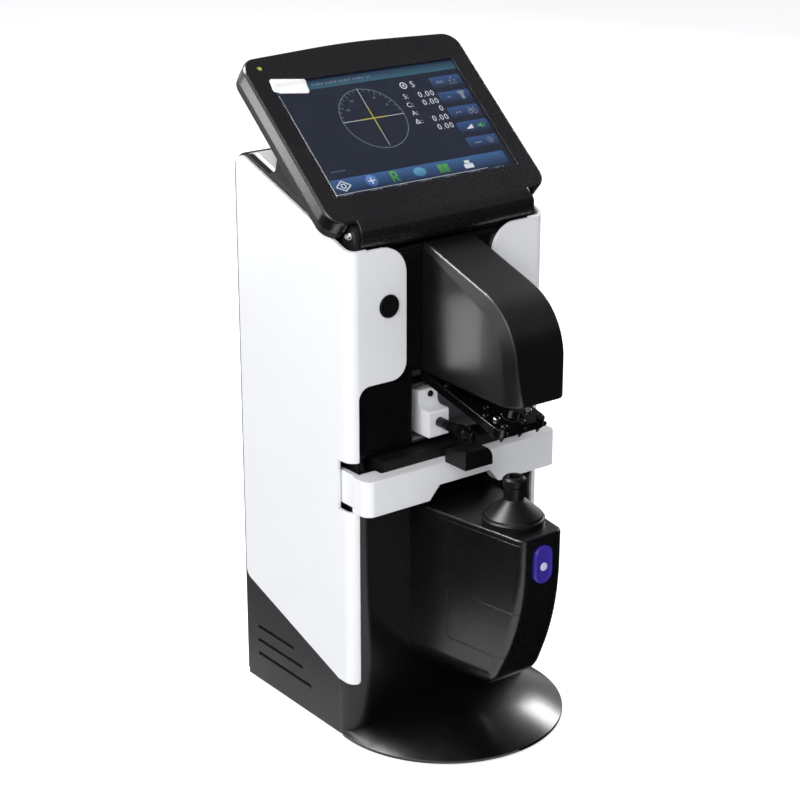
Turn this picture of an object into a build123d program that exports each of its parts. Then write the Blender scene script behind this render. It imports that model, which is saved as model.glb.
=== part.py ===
from build123d import *
import math
import os

# Auto lensmeter: a desktop instrument that reads spectacle lenses.
# Millimetres, +Z up, front towards -Y, origin under the middle of the whole instrument.

# overall sizes
half_width = 84.0
front_y = -16.0
rear_y = 118.5
wall = 2.5
gap = 0.3
foot_height = 3.0
skirt_z = 1.2
screw_radius = 1.5
pivot_clearance = 0.05

# sloping lines of the side covers, seen from the side
top_slope = 0.343
top_front_z = 361.5
trough_z = 351.5
sky_z = 2 * top_front_z
low_slope = 0.33
low_front_z = 44.2
side_rear_y = rear_y - wall
side_corner = 8.0

# slot across the front that the lens table slides in
slot_low_z = 174.0
slot_high_z = 211.5
notch_depth = 15.0

# wings of the side covers that wrap on to the front
wing_inner_x = 37.0
wing_low_z = 262.8
wing_top_z = 356.0
wing_top_radius = 20.0
wing_low_radius = 12.0
strip_width = 7.5
upper_cover_top_z = 350.0

# plugs that hide the cover screws
plug_x = 51.7
plug_z = 315.6
plug_radius = 8.0

# steel base, feet and the round foot
base_thickness = 2.5
base_inset = 5.0
foot_radius = 86.0
foot_centre_y = -12.5
foot_rise = 16.5
foot_rim = 2.0
base_neck = 74.0
rubber_radius = 8.0
rubber_inset = 13.0
rubber_rear_inset = 18.0
front_rubber_x = 50.0
front_rubber_y = -56.0
base_screw_inset = 8.8
base_screw_ys = (4.0, 44.0, 80.0)

# steel column
column_clearance = 8.7
frame_outer_x = half_width - wall - column_clearance
frame_sheet = 2.0
frame_front_y = -11.0
frame_rear_y = 108.0
flange_width = 7.0

# cast optical frame and the measuring axis
axis_y = -86.0
arm_half_width = 12.0
spine_front_y = 8.0
spine_depth = 18.0
low_arm_z = 120.0
low_arm_height = 20.0
high_arm_z = 290.0
high_arm_height = 14.0
arm_tip = 14.0
bore_radius = 6.0

# head
head_bottom_z = 264.0
head_top_z = 353.5
head_slope = 0.315
head_front_y = -112.5
head_lean = 7.0
head_brow_radius = 46.0
head_corner = 13.0
head_rear_half = 21.5
head_front_half = 24.5
head_widest_y = -78.0
bevel_half = 20.0
bevel_drop = 9.0
head_plate_thickness = 2.5

# nose
nose_front_y = -116.4
nose_top_z = 172.0
nose_cap = 4.0
nose_front_half = 18.0
nose_taper = 0.1566
nose_corner = 6.5
nose_chin_z = 112.0
nose_chin_lean = 0.8
nose_chin_curve = 170.0
nose_keel_y = -86.0
nose_keel_z = 50.0
nose_keel_curve = 34.0
nose_root_z = 41.5
nose_belly_radius = 30.0
nose_chin_radius = 16.8
nose_wall = 2.2
hatch_low_z = 80.5
hatch_high_z = 117.0
hatch_rear_y = -51.0

# nosepiece
nosepiece_radius = 21.3
nosepiece_neck = 7.0
nosepiece_ring = 7.9
nosepiece_height = 32.5
nosepiece_bore = 4.0
window_radius = 10.0

# reading button
button_half_width = 7.6
button_half_height = 13.6
button_z = 151.6
button_proud = 2.1
button_travel = 1.5

# lens table
table_front_y = -34.0
table_clearance = 5.0
table_low_z = nose_top_z + table_clearance
table_bar_height = 25.5
table_high_z = table_low_z + table_bar_height
table_bar_depth = 9.5
table_end_depth = 16.5
table_corner = 7.0
notch_half = 30.5
notch_rise = 9.8
side_arm_inset = 3.5
side_arm_x = half_width - side_arm_inset
side_arm_thickness = 3.8
side_arm_rear_y = 30.0
carriage_half = 62.0
carriage_top_z = 210.0
carriage_height = 13.5
carriage_rear_y = -1.0
rod_x = 50.0
rod_radius = 3.0
rod_rear_y = 66.0

# pupil distance slider on the table
slider_x = -6.0
slider_width = 23.6
slider_front_y = -56.4
slider_top_z = 216.5
slider_rear_top_z = 212.0
slider_round = 11.0
slider_tongue = 12.0

# marker arm
arm_tilt = 13.0
arm_front_y = -95.2
arm_drop = 10.7
arm_half = 21.0
arm_thickness = 6.2
arm_skin = 2.2
arm_front_bar = 8.0
arm_length = 88.0
pivot_y = -6.0
pivot_z = 254.5
arm_front_z = pivot_z - arm_drop
pivot_radius = 3.0
hub_radius = 4.6
hub_half = 14.0
pen_spacing = 15.5
pen_back = 2.9
beam_back = 12.8
beam_radius = 7.0
pen_radius = 1.5
pin_x = 13.5
pin_back = 13.0
pin_travel = 4.0

# recess that the marker arm swings in
bay_half = 30.6
bay_low_z = 213.5
bay_high_z = 264.6
bay_sheet = 2.0

# ink cartridge in its bracket
ink_x = -11.8
ink_z = 226.4
ink_radius = 3.5
ink_front_y = -58.0
bracket_left_x = -20.6
bracket_right_x = -4.0
bracket_front_y = -20.5
bracket_plate_y = -8.0
bracket_shelf_z = 235.0
bracket_top_z = 247.0
bracket_low_z = 216.0
bracket_screw_radius = 2.2
bracket_screw_head = 1.8
bracket_screw_inset = 10.0
bracket_screw_drop = 3.8

# circuit boards and power supply
board_sheet = 1.6
pillar_radius = 3.0
main_board_half = 55.0
main_board_low_z = 180.0
main_board_height = 110.0
main_board_pillar = 8.0
pillar_inset = 6.0
supply_half = 50.0
supply_low_z = 82.0
supply_height = 68.0
supply_depth = 34.0
display_board_half = 50.0
display_board_low = 15.0
display_board_height = 70.0
display_board_pillar = 2.0

# display, in its own tilted frame: x, up along the glass, out of the glass
display_tilt = 40.2
display_y = 6.07
display_z = 388.67
display_half = 92.0
hump_up = 62.0
display_low = -21.0
display_high = 119.5
display_arch = 4.5
display_corner = 13.0
display_depth = 18.5
bezel_depth = 11.0
screen_half = 76.4
screen_height = 96.5
barrel_up = -23.9
barrel_out = -11.0
chin_up = -21.6
chin_radius = 13.0
ear_gap = 0.4
barrel_half = frame_outer_x - ear_gap
ear_thickness = 3.2
ear_drop = 34.0
ear_front = 7.5
ear_rear = 12.0
ear_round = 7.0
shaft_radius = 3.0
led_inset = 12.8
led_x = led_inset - display_half
led_up = 110.4

# receipt printer in the right side cover
printer_y = 52.0
printer_half = 32.0
printer_low_z = 262.0
printer_high_z = 318.0
printer_depth = 44.0
printer_sheet = 1.6
roll_radius = 19.0
roll_half = 28.5
spindle_radius = 4.0

# rear sockets
inlet_x = 40.0
inlet_z = 42.0
inlet_half = 14.0
inlet_depth = 24.0
inlet_mouth_half = 12.0
inlet_mouth_depth = 16.0
inlet_mouth_rise = 8.0
switch_x = 5.0
switch_half = 7.0
socket_half = 10.5


def box(x0, x1, y0, y1, z0, z1):
    """A block between two corners."""
    place = Pos((x0 + x1) / 2, (y0 + y1) / 2, (z0 + z1) / 2)
    return place * Box(x1 - x0, y1 - y0, z1 - z0)


def rod_along_x(radius, x0, x1, y, z):
    """A round bar along X."""
    return Pos((x0 + x1) / 2, y, z) * Rot(0, 90, 0) * Cylinder(radius, x1 - x0)


def rod_along_y(radius, x, y0, y1, z):
    """A round bar along Y."""
    return Pos(x, (y0 + y1) / 2, z) * Rot(90, 0, 0) * Cylinder(radius, y1 - y0)


def rod_along_z(radius, x, y, z0, z1):
    """A round bar along Z."""
    return Pos(x, y, (z0 + z1) / 2) * Cylinder(radius, z1 - z0)


def rounded_face(points):
    """A flat face from corners (a, b) or (a, b, radius)."""
    corners = [(p[0], p[1], p[2] if len(p) > 2 else 0.0) for p in points]
    count = len(corners)
    edges = []
    previous = None
    first = None
    for i, (a, b, radius) in enumerate(corners):
        here = Vector(a, b)
        before = Vector(*corners[i - 1][:2]) - here
        after = Vector(*corners[(i + 1) % count][:2]) - here
        if radius > 0:
            to_before = before.normalized()
            to_after = after.normalized()
            half = math.radians(to_before.get_angle(to_after)) / 2
            reach = radius / math.tan(half)
            start = here + to_before * reach
            end = here + to_after * reach
            inward = (to_before + to_after).normalized()
            middle = here + inward * (radius / math.sin(half) - radius)
            if previous is not None:
                edges.append(Edge.make_line(previous, start))
            edges.append(Edge.make_three_point_arc(start, middle, end))
        else:
            start = here
            end = here
            if previous is not None:
                edges.append(Edge.make_line(previous, start))
        if first is None:
            first = start
        previous = end
    edges.append(Edge.make_line(previous, first))
    face = Face(Wire(edges))
    return face if face.normal_at().Z > 0 else -face


def plan_solid(points, z0, z1):
    """An outline seen from above, raised from z0 to z1."""
    return Pos(0, 0, z0) * extrude(rounded_face(points), z1 - z0)


def side_solid(points, x0, x1):
    """An outline of (y, z) seen from the side, from x0 to x1."""
    plane = Plane(origin=(x0, 0, 0), x_dir=(0, 1, 0), z_dir=(1, 0, 0))
    return plane.location * extrude(rounded_face(points), x1 - x0)


def front_solid(points, y0, y1):
    """An outline of (x, z) seen from the front, from y0 to y1."""
    plane = Plane(origin=(0, y1, 0), x_dir=(1, 0, 0), z_dir=(0, -1, 0))
    return plane.location * extrude(rounded_face(points), y1 - y0)


def both_sides(solid):
    """A solid with its mirror image across the middle plane."""
    return [solid, mirror(solid, Plane.YZ)]


def group(solids):
    """Separate solids kept together in one node."""
    return Compound(children=[piece for solid in solids for piece in solid.solids()])


def top_line(y):
    """Height of the side covers' sloping top edge."""
    return top_front_z + top_slope * y


def low_line(y):
    """Height of the side covers' sloping lower edge."""
    return low_front_z + low_slope * y


# Base and foot

frame_floor_z = foot_height + base_thickness
base_half = half_width - base_inset
base_rear_y = side_rear_y - 2.0
base_screw_x = frame_outer_x - base_screw_inset
base_screw_places = [(x, y) for x in (-base_screw_x, base_screw_x) for y in base_screw_ys]
frame_flange = 12.0


def make_base_plate():
    """Steel plate that everything stands on."""
    body = box(-base_half, base_half, gap, base_rear_y, foot_height, frame_floor_z)
    neck = box(-base_neck, base_neck, front_y - 2, gap, foot_height, frame_floor_z)
    disc = rod_along_z(foot_radius - base_inset, 0, foot_centre_y, foot_height, frame_floor_z)
    disc = disc & box(-base_half, base_half, -2 * foot_radius, front_y - 1, 0, frame_floor_z)
    plate = body + neck + disc
    for x, y in base_screw_places:
        plate = plate - rod_along_z(screw_radius, x, y, foot_height, frame_floor_z)
    return plate


def make_rubber_feet():
    """Four rubber feet glued under the base plate."""
    rear_x = base_half - rubber_inset
    feet = []
    for x, y in ((rear_x, base_rear_y - rubber_rear_inset), (front_rubber_x, front_rubber_y)):
        for side in (-1, 1):
            feet.append(rod_along_z(rubber_radius, side * x, y, 0, foot_height))
    return group(feet)


def cover_plan(grow):
    """Outline of the lower front cover from above, grown outwards by grow."""
    x = half_width + grow
    y = front_y - grow
    radius = -front_y + grow
    return [(-x, 1.0), (-x, y, radius), (x, y, radius), (x, 1.0)]


def make_foot_disc():
    """Moulded round foot, domed towards the column, with a thin rim."""
    rim_z = foot_height - 1.0
    top_z = rim_z + foot_rim
    crown_z = rim_z + foot_rise
    ledge = foot_radius - base_inset + 0.5
    shoulder_r = 0.72 * foot_radius
    shoulder_z = top_z + 0.52 * foot_rise
    with BuildSketch(Plane.XZ) as section:
        with BuildLine():
            edge = Line((foot_radius, rim_z), (foot_radius, top_z))
            dome = ThreePointArc(edge @ 1, (shoulder_r, shoulder_z), (0, crown_z))
            Polyline(dome @ 1, (0, crown_z - wall), (0.62 * foot_radius, 11.5),
                     (0.86 * foot_radius, frame_floor_z), (ledge, frame_floor_z),
                     (ledge, rim_z), edge @ 0)
        make_face()
    disc = Pos(0, foot_centre_y, 0) * revolve(section.sketch, Axis.Z)
    disc = disc - plan_solid(cover_plan(gap), -1, crown_z + 1)
    return disc & box(-half_width - 9, half_width + 9, -120, front_y + 10, -1, crown_z + 1)


# Column

def frame_top(y):
    """Top edge of the column, where the top cover rests."""
    return top_line(y) - 16.0


def make_column_frame():
    """Folded steel column, open at the front, with flanges at its foot and front."""
    low = frame_floor_z
    crest = frame_top(frame_rear_y)
    inner = frame_outer_x - frame_sheet
    shell = box(-frame_outer_x, frame_outer_x, frame_front_y, frame_rear_y, low, crest)
    shell = shell - box(-inner, inner, frame_front_y + frame_sheet,
                        frame_rear_y - frame_sheet, low + frame_sheet, crest)
    mouth = inner + frame_sheet - flange_width
    shell = shell - box(-mouth, mouth, frame_front_y, frame_front_y + frame_sheet,
                        low + frame_sheet, crest)
    shell = shell - box(-inner + frame_flange, inner - frame_flange, frame_front_y + 16,
                        frame_rear_y - 16, low, low + frame_sheet)
    slope = side_solid([(frame_front_y - 1, frame_top(frame_front_y - 1)),
                        (frame_rear_y + 1, frame_top(frame_rear_y + 1)),
                        (frame_rear_y + 1, crest + 40), (frame_front_y - 1, crest + 40)],
                       -half_width, half_width)
    shell = shell - slope
    for x, y in base_screw_places:
        shell = shell - rod_along_z(screw_radius, x, y, low, low + frame_sheet)
    # clear way for the lens table's rods and side arms
    shell = shell - box(-half_width, half_width, frame_front_y, frame_front_y + frame_sheet,
                        slot_low_z, slot_high_z)
    # window behind the printer
    shell = shell - box(inner - 1, frame_outer_x + 1, printer_y - printer_half - 1,
                        printer_y + printer_half + 1, printer_low_z - 1, printer_high_z + 1)
    # windows behind the rear sockets
    for x, half in ((inlet_x, inlet_half + 4), (switch_x, switch_half + 3)):
        shell = shell - box(x - half, x + half, frame_rear_y - frame_sheet, frame_rear_y,
                            inlet_z - 16, inlet_z + 16)
    return shell


def make_optical_frame():
    """Cast C-shaped frame that holds the lamp above the sensor."""
    tip = axis_y - arm_tip
    back = spine_front_y + spine_depth
    low = frame_floor_z
    top = high_arm_z + high_arm_height
    pocket = high_arm_z - 4
    outline = [(spine_front_y, low), (back, low), (back, top, 12.0), (tip, top, 4.0),
               (tip, high_arm_z, 4.0), (spine_front_y, high_arm_z, 6.0),
               (spine_front_y, low_arm_z + low_arm_height, 6.0),
               (tip, low_arm_z + low_arm_height, 4.0), (tip, low_arm_z, 4.0),
               (spine_front_y, low_arm_z, 6.0)]
    frame = side_solid(outline, -arm_half_width, arm_half_width)
    foot = box(-arm_half_width - 12, arm_half_width + 12, spine_front_y, back, low, low + 8)
    frame = frame + foot
    frame = frame - rod_along_z(bore_radius, 0, axis_y, low_arm_z - 1, pocket + 40)
    return frame


# Side covers

def side_outline(shrink):
    """Side cover seen from the side, drawn in by shrink."""
    y0 = front_y - 1
    y1 = side_rear_y - shrink
    return [(y0, low_front_z + shrink), (0, low_front_z + shrink, 12.0),
            (y1, low_line(y1) + shrink, side_corner),
            (y1, top_line(y1) - shrink, side_corner), (y0, top_line(y0) - shrink)]


def make_side_cover(side):
    """White side shell whose front edge wraps round and widens into a wing."""
    inner_x = half_width - wall
    outer = [(wing_inner_x, front_y), (half_width, front_y, side_corner),
             (half_width, side_rear_y), (inner_x, side_rear_y),
             (inner_x, front_y + wall, side_corner - wall), (wing_inner_x, front_y + wall)]
    tall = top_line(rear_y) + 5
    shell = plan_solid(outer, 0, tall)
    shell = shell & side_solid(side_outline(0), 0, half_width + 1)
    strip_x = half_width - strip_width
    mask = [(half_width + 1, low_front_z), (half_width + 1, tall),
            (half_width - 15, tall), (half_width - 15, wing_top_z),
            (wing_inner_x, wing_top_z, wing_top_radius),
            (wing_inner_x, wing_low_z, wing_low_radius), (strip_x, wing_low_z, 9.0),
            (strip_x, low_front_z, 3.0)]
    front_zone = front_solid(mask, front_y - 1, front_y + side_corner)
    side_zone = box(0, half_width + 1, front_y + side_corner, side_rear_y + 1, 0, tall)
    shell = shell & (front_zone + side_zone)
    shell = shell - box(strip_x - 1, half_width + 1, front_y - 1, front_y + notch_depth,
                        slot_low_z, slot_high_z - 1.5)
    shell = shell - rod_along_y(plug_radius - 3, plug_x, front_y - 1, front_y + wall + 1, plug_z)
    # screw bosses that stand on the column
    for y, z in ((20.0, 90.0), (96.0, 110.0), (20.0, 335.0), (96.0, 350.0), (10.0, 235.0)):
        shell = shell + rod_along_x(4.0, frame_outer_x, inner_x, y, z)
    if side > 0:
        shell = shell - box(inner_x - 1, half_width + 1, printer_y - printer_half,
                            printer_y + printer_half, printer_low_z, printer_high_z)
        reach = printer_half + door_pin_length
        shell = shell - rod_along_y(door_pin_radius + pivot_clearance, door_hinge_x,
                                    printer_y - reach, printer_y + reach, door_hinge_z)
        return shell
    return mirror(shell, Plane.YZ)


def make_cover_plugs():
    """Push-in caps over the screws in the wings."""
    cap = rod_along_y(plug_radius, plug_x, front_y - 1.2, front_y, plug_z)
    stem = rod_along_y(plug_radius - 3 - 0.1, plug_x, front_y, front_y + wall, plug_z)
    return group(both_sides(cap + stem))


def make_vent_panels():
    """Lower side panels with three cooling slots each."""
    low = skirt_z
    y0 = gap
    y1 = side_rear_y
    outline = [(y0, low), (y1, low), (y1, low_line(y1) - gap), (y0, low_line(y0) - gap)]
    panel = side_solid(outline, half_width - wall, half_width)
    for row, (start, z) in enumerate(((56.4, 44.3), (45.5, 33.4), (34.6, 22.5))):
        panel = panel - box(half_width - wall - 1, half_width + 1, start, 102.6, z - 1.6, z + 1.6)
    foot = box(frame_outer_x, half_width - wall, 30.0, 42.0, frame_floor_z, frame_floor_z + 8)
    foot = foot + box(frame_outer_x, half_width - wall, 84.0, 96.0, frame_floor_z, frame_floor_z + 8)
    return group(both_sides(panel + foot))


# Front, top and rear covers

front_plate_y = front_y + wall + 0.1


def make_lower_front_cover():
    """Gloss front cover below the table slot, rounded round the front corners."""
    low = skirt_z
    inner = cover_plan(-wall)
    shell = plan_solid(cover_plan(0), low, slot_low_z) - plan_solid(inner, low - 1, slot_low_z + 1)
    shell = shell & box(-half_width - 1, half_width + 1, front_y - 1, 0, low, slot_low_z)
    strip_x = half_width - strip_width - gap
    side_cut = box(strip_x, half_width + 1, front_y - 1, 1, low_front_z - gap, slot_low_z + 1)
    for piece in both_sides(side_cut):
        shell = shell - piece
    # clear way over the base plate
    shell = shell - box(-base_neck - gap, base_neck + gap, front_y - 1, 1, low - 1,
                        frame_floor_z + gap)
    arm = arm_half_width + 1.5
    shell = shell - box(-arm, arm, front_y - 1, front_y + wall + 1, low_arm_z - 2,
                        low_arm_z + low_arm_height + 2)
    for z in (24.0, 100.0, 160.0):
        pad = box(frame_outer_x - flange_width + 1, frame_outer_x - 0.5, front_y + wall,
                  frame_front_y, z - 4, z + 4)
        for piece in both_sides(pad):
            shell = shell + piece
    return shell


def ear_slots():
    """Room in the covers for the display's hinge ears."""
    x = ear_inner
    return both_sides(box(x - 0.5, x + ear_thickness + 0.5, front_plate_y - 1, 14.0,
                          frame_top(0) - 36, sky_z))


def make_upper_front_cover():
    """Gloss front cover above the table slot, with the marker bay's mouth."""
    x = half_width - strip_width - gap
    plate = box(-x, x, front_plate_y, frame_front_y, slot_high_z, upper_cover_top_z)
    plate = plate - box(-bay_half, bay_half, front_plate_y - 1, frame_front_y + 1, bay_low_z, bay_high_z)
    arm = arm_half_width + 1.5
    plate = plate - box(-arm, arm, front_plate_y - 1, frame_front_y + 1, high_arm_z - 2,
                        high_arm_z + high_arm_height + 2)
    for piece in ear_slots():
        plate = plate - piece
    return plate


def make_bay_liner():
    """Grey tray behind the bay's mouth that carries the marker arm's shaft."""
    x = bay_half + bay_sheet
    low = bay_low_z - bay_sheet + 0.6
    high = bay_high_z + bay_sheet
    tray = box(-x, x, frame_front_y, spine_front_y, low, high)
    tray = tray - box(-bay_half, bay_half, frame_front_y - 1, spine_front_y - bay_sheet,
                      bay_low_z + 0.6, bay_high_z)
    return tray - rod_along_x(pivot_radius + 0.02, -x - 1, x + 1, pivot_y, pivot_z)


def hump_back(up, below):
    """A point behind the display's glass, by its place up the glass and depth."""
    t = math.radians(display_tilt)
    y = display_y + up * math.cos(t) + below * math.sin(t)
    z = display_z + up * math.sin(t) - below * math.cos(t)
    return y, z


def make_top_cover():
    """Sloping black top with a hump that backs the display."""
    crown = 1.5
    rest = display_depth + 0.8
    front = frame_front_y + 0.2
    rear = side_rear_y
    foot_y, foot_z = hump_back(0.0, rest)
    peak_y, peak_z = hump_back(hump_up, rest)
    toe_y = peak_y + 7.0
    skyline = [(front, trough_z), (foot_y - 9.0, trough_z, 4.0), (foot_y, foot_z, 2.0),
               (peak_y, peak_z, 1.0), (toe_y, top_line(toe_y) + crown, 9.0),
               (rear, top_line(rear) + crown, 10.0)]
    x = half_width - wall - gap
    outer = side_solid(skyline + [(rear, frame_top(rear)), (front, frame_top(front))], -x, x)
    outer = outer & plan_solid([(-x, rear + 1), (-x, front, 6.0), (x, front, 6.0), (x, rear + 1)],
                               0, sky_z)
    hollow = side_solid(skyline + [(rear, 0), (front, 0)], -x + wall, x - wall)
    hollow = Pos(0, 0, -1.2 * wall) * hollow
    cover = outer - (hollow & box(-x, x, front + wall, rear - wall, -wall, sky_z))
    # ribs that rest on the column's top edges
    roof = side_solid(skyline + [(rear, frame_top(rear)), (front, frame_top(front))],
                      frame_outer_x - frame_sheet, frame_outer_x)
    rib = roof & box(0, half_width, frame_front_y + 0.2, frame_rear_y, 0, sky_z)
    for piece in (rib, mirror(rib, Plane.YZ)):
        cover = cover + piece
    for piece in ear_slots():
        cover = cover - piece
    return cover


def make_rear_cover():
    """Dark rear panel with the sockets' openings and a block of cooling slots."""
    edge = half_width - 1.0
    top = top_line(side_rear_y) - 4
    panel = front_solid([(-edge, skirt_z, 4.0), (edge, skirt_z, 4.0), (edge, top, 8.0),
                         (-edge, top, 8.0)], side_rear_y, rear_y)
    pad_places = [(px, pz) for px in (-60.0, 60.0) for pz in (90.0, 200.0, 330.0)]
    for px, pz in pad_places:
        panel = panel + rod_along_y(4.0, px, frame_rear_y, side_rear_y, pz)
    for i in range(8):
        z = 250.0 + 9.0 * i
        panel = panel - box(-45.0, 45.0, side_rear_y - 1, rear_y + 1, z, z + 3.0)
    for x, half in ((inlet_x, inlet_half), (switch_x, switch_half)):
        panel = panel - box(x - half, x + half, side_rear_y - 1, rear_y + 1,
                            inlet_z - socket_half, inlet_z + socket_half)
    return panel


# Head

def head_plan(shrink):
    """Head outline from above: it widens towards its rounded front."""
    rear = front_plate_y
    r = head_rear_half - shrink
    f = head_front_half - shrink
    front = head_front_y + shrink
    return [(-r, rear), (-f, head_widest_y, 60.0), (-f, front, head_corner - shrink),
            (f, front, head_corner - shrink), (f, head_widest_y, 60.0), (r, rear)]


def head_side(inset):
    """Head outline from the side, inset behind its top, brow and front."""
    rear = front_plate_y
    fall = math.atan(head_slope)
    lean = math.atan(head_lean / 70)
    top = head_top_z - inset / math.cos(fall)
    front = head_front_y + inset / math.cos(lean)
    # where the sloping top would meet the leaning front
    corner_y = (front + math.tan(lean) * (top - head_slope * rear - head_bottom_z))
    corner_y = corner_y / (1 - math.tan(lean) * head_slope)
    corner_z = top + head_slope * (corner_y - rear)
    return [(rear, head_bottom_z), (front, head_bottom_z),
            (corner_y, corner_z, head_brow_radius - inset), (rear, top)]


def head_solid(shrink):
    """The head's full form, drawn in by shrink, with bevelled shoulders over its brow."""
    inset = bevel_drop
    core = side_solid(head_side(inset), -half_width, half_width)
    section = [(-bevel_half + shrink, -shrink), (bevel_half - shrink, -shrink),
               (head_front_half, -bevel_drop), (head_front_half, -bevel_drop - 0.5),
               (-head_front_half, -bevel_drop - 0.5), (-head_front_half, -bevel_drop)]
    outline = head_side(0)
    crown = outline[3]
    brow = outline[2]
    chin = (outline[1][0], outline[1][1] - 5)
    down = Vector(0, brow[0] - crown[0], brow[1] - crown[1]).normalized()
    plane = Plane(origin=(0, crown[0], crown[1]), x_dir=(1, 0, 0), z_dir=down)
    path = Wire(brow_edges(crown, brow, chin))
    band = sweep(plane.location * rounded_face(section), path=path)
    return (core + band) & plan_solid(head_plan(shrink), head_bottom_z, head_top_z + 1)


def brow_edges(crown, brow, chin):
    """Edges over the head's top, round its brow and down its front."""
    here = Vector(0, brow[0], brow[1])
    back = (Vector(0, crown[0], crown[1]) - here).normalized()
    down = (Vector(0, chin[0], chin[1]) - here).normalized()
    half = math.radians(back.get_angle(down)) / 2
    start = here + back * (brow[2] / math.tan(half))
    end = here + down * (brow[2] / math.tan(half))
    middle = here + (back + down).normalized() * (brow[2] / math.sin(half) - brow[2])
    return [Edge.make_line((0, crown[0], crown[1]), start),
            Edge.make_three_point_arc(start, middle, end),
            Edge.make_line(end, (0, chin[0], chin[1]))]


def make_head_cover():
    """Moulded shell over the lamp and the collimator."""
    hollow = head_solid(wall) + (Pos(0, 4, 0) * head_solid(wall))
    return head_solid(0) - hollow


def make_head_base_plate():
    """Plate that closes the head from below, with the light's opening."""
    z = head_bottom_z
    plate = plan_solid(head_plan(wall + 0.9), z, z + head_plate_thickness)
    return plate - rod_along_z(8.0, 0, axis_y, z - 1, z + head_plate_thickness + 1)


barrel_outer = 9.0
lens_seat = 7.0
lens_thickness = 3.5


def make_collimator_barrel():
    """Tube under the upper arm that holds the collimator lens."""
    low = head_bottom_z + head_plate_thickness + 1.5
    tube = rod_along_z(barrel_outer, 0, axis_y, low, high_arm_z)
    tube = tube - rod_along_z(5.5, 0, axis_y, low - 1, high_arm_z + 1)
    return tube - rod_along_z(lens_seat, 0, axis_y, low - 1, low + lens_thickness)


def make_collimator_lens():
    """Glass collimator lens in the barrel's mouth."""
    low = head_bottom_z + head_plate_thickness + 1.5
    return rod_along_z(lens_seat, 0, axis_y, low + 0.5, low + lens_thickness)


def make_led_board():
    """Lamp board on the upper arm, with its lamp in the bore."""
    z = high_arm_z + high_arm_height
    board = box(-9.5, 9.5, axis_y - 9.5, axis_y + 22, z, z + 1.6)
    lamp = rod_along_z(2.5, 0, axis_y, z - 6, z)
    return board + lamp


# Nose

def nose_plan(shrink, corner, grow=0.0):
    """Nose outline from above: a blunt wedge that widens to the column."""
    front = nose_front_y + shrink
    lean = math.sqrt(1 + nose_taper ** 2)
    half = nose_front_half - shrink * lean + nose_taper * shrink
    rear = front_y + grow
    root = half + nose_taper * (rear - front)
    return [(-root, rear), (-half, front, corner), (half, front, corner), (root, rear)]


def nose_side(shrink):
    """Nose outline from the side, without its top cap."""
    top = nose_top_z - nose_cap
    rear = front_y
    return [(rear, top), (nose_front_y + shrink, top),
            (nose_front_y + nose_chin_lean + shrink, nose_chin_z, nose_chin_curve),
            (nose_keel_y + shrink, nose_keel_z + shrink, nose_keel_curve),
            (rear, nose_root_z + shrink)]


def nose_solid(shrink, grow=0.0):
    """The nose's full form, drawn in by shrink and run on at the back by grow."""
    top = nose_top_z - nose_cap
    body = plan_solid(nose_plan(shrink, 0.0, grow), nose_root_z - 5, top)
    side = nose_side(shrink)
    side[0] = (side[0][0] + grow, side[0][1])
    side[-1] = (side[-1][0] + grow, side[-1][1])
    body = body & side_solid(side, -half_width, half_width)
    corners = [e for e in body.edges() if e.center().Y < front_y - 1 and e.center().Z < top - 1
               and abs(e.center().X) > nose_front_half / 2]
    body = fillet(corners, nose_corner - shrink)
    sections = []
    for y, radius in ((nose_front_y - 5, nose_chin_radius), (front_y + 8, nose_belly_radius)):
        half = nose_front_half + nose_taper * (y - nose_front_y) - shrink + 0.3
        fall = (nose_keel_z - nose_root_z) / (nose_keel_y - front_y)
        low = nose_root_z + fall * (y - front_y) + shrink
        face = rounded_face([(-half, top + 1), (-half, low, radius - shrink),
                             (half, low, radius - shrink), (half, top + 1)])
        plane = Plane(origin=(0, y, 0), x_dir=(1, 0, 0), z_dir=(0, -1, 0))
        sections.append(plane.location * face)
    return body & loft(sections, ruled=True)


def nose_skin():
    """The nose's hollow wall, open at its top and back."""
    inner = nose_solid(nose_wall, 5.0)
    return nose_solid(0) - inner - (Pos(0, 0, 4) * inner)


def button_shape(shrink, y0, y1):
    """The button's long round outline, from y0 to y1."""
    half = button_half_width - shrink
    high = button_half_height - shrink
    return front_solid([(-half, button_z - high, half - 0.01), (half, button_z - high, half - 0.01),
                        (half, button_z + high, half - 0.01), (-half, button_z + high, half - 0.01)],
                       y0, y1)


def hatch_zone(grow):
    """Space of the wrap-around service hatch, grown by grow."""
    return box(-half_width, half_width, nose_front_y - 5, hatch_rear_y + grow,
               hatch_low_z - grow, hatch_high_z + grow)


def make_nose_shell():
    """Moulded lower nose, less its service hatch and the button's hole."""
    shell = nose_skin() - hatch_zone(0.25)
    hole = button_shape(-gap, nose_front_y - 5, nose_front_y + 8)
    return shell - hole


def make_nose_service_cover():
    """Snap-on hatch that wraps round the front of the nose."""
    skin = nose_skin() & hatch_zone(0)
    hook_y = hatch_rear_y - 6
    half = nose_front_half + nose_taper * (hook_y - nose_front_y) - nose_wall - 0.5
    root = box(half - 1.6, half + 1.4, hook_y, hook_y + 5, hatch_high_z - 5, hatch_high_z - 1)
    hook = box(half - 1.6, half, hook_y, hook_y + 5, hatch_high_z - 5, hatch_high_z + 4)
    for piece in both_sides(root + hook):
        skin = skin + piece
    return skin


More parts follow.
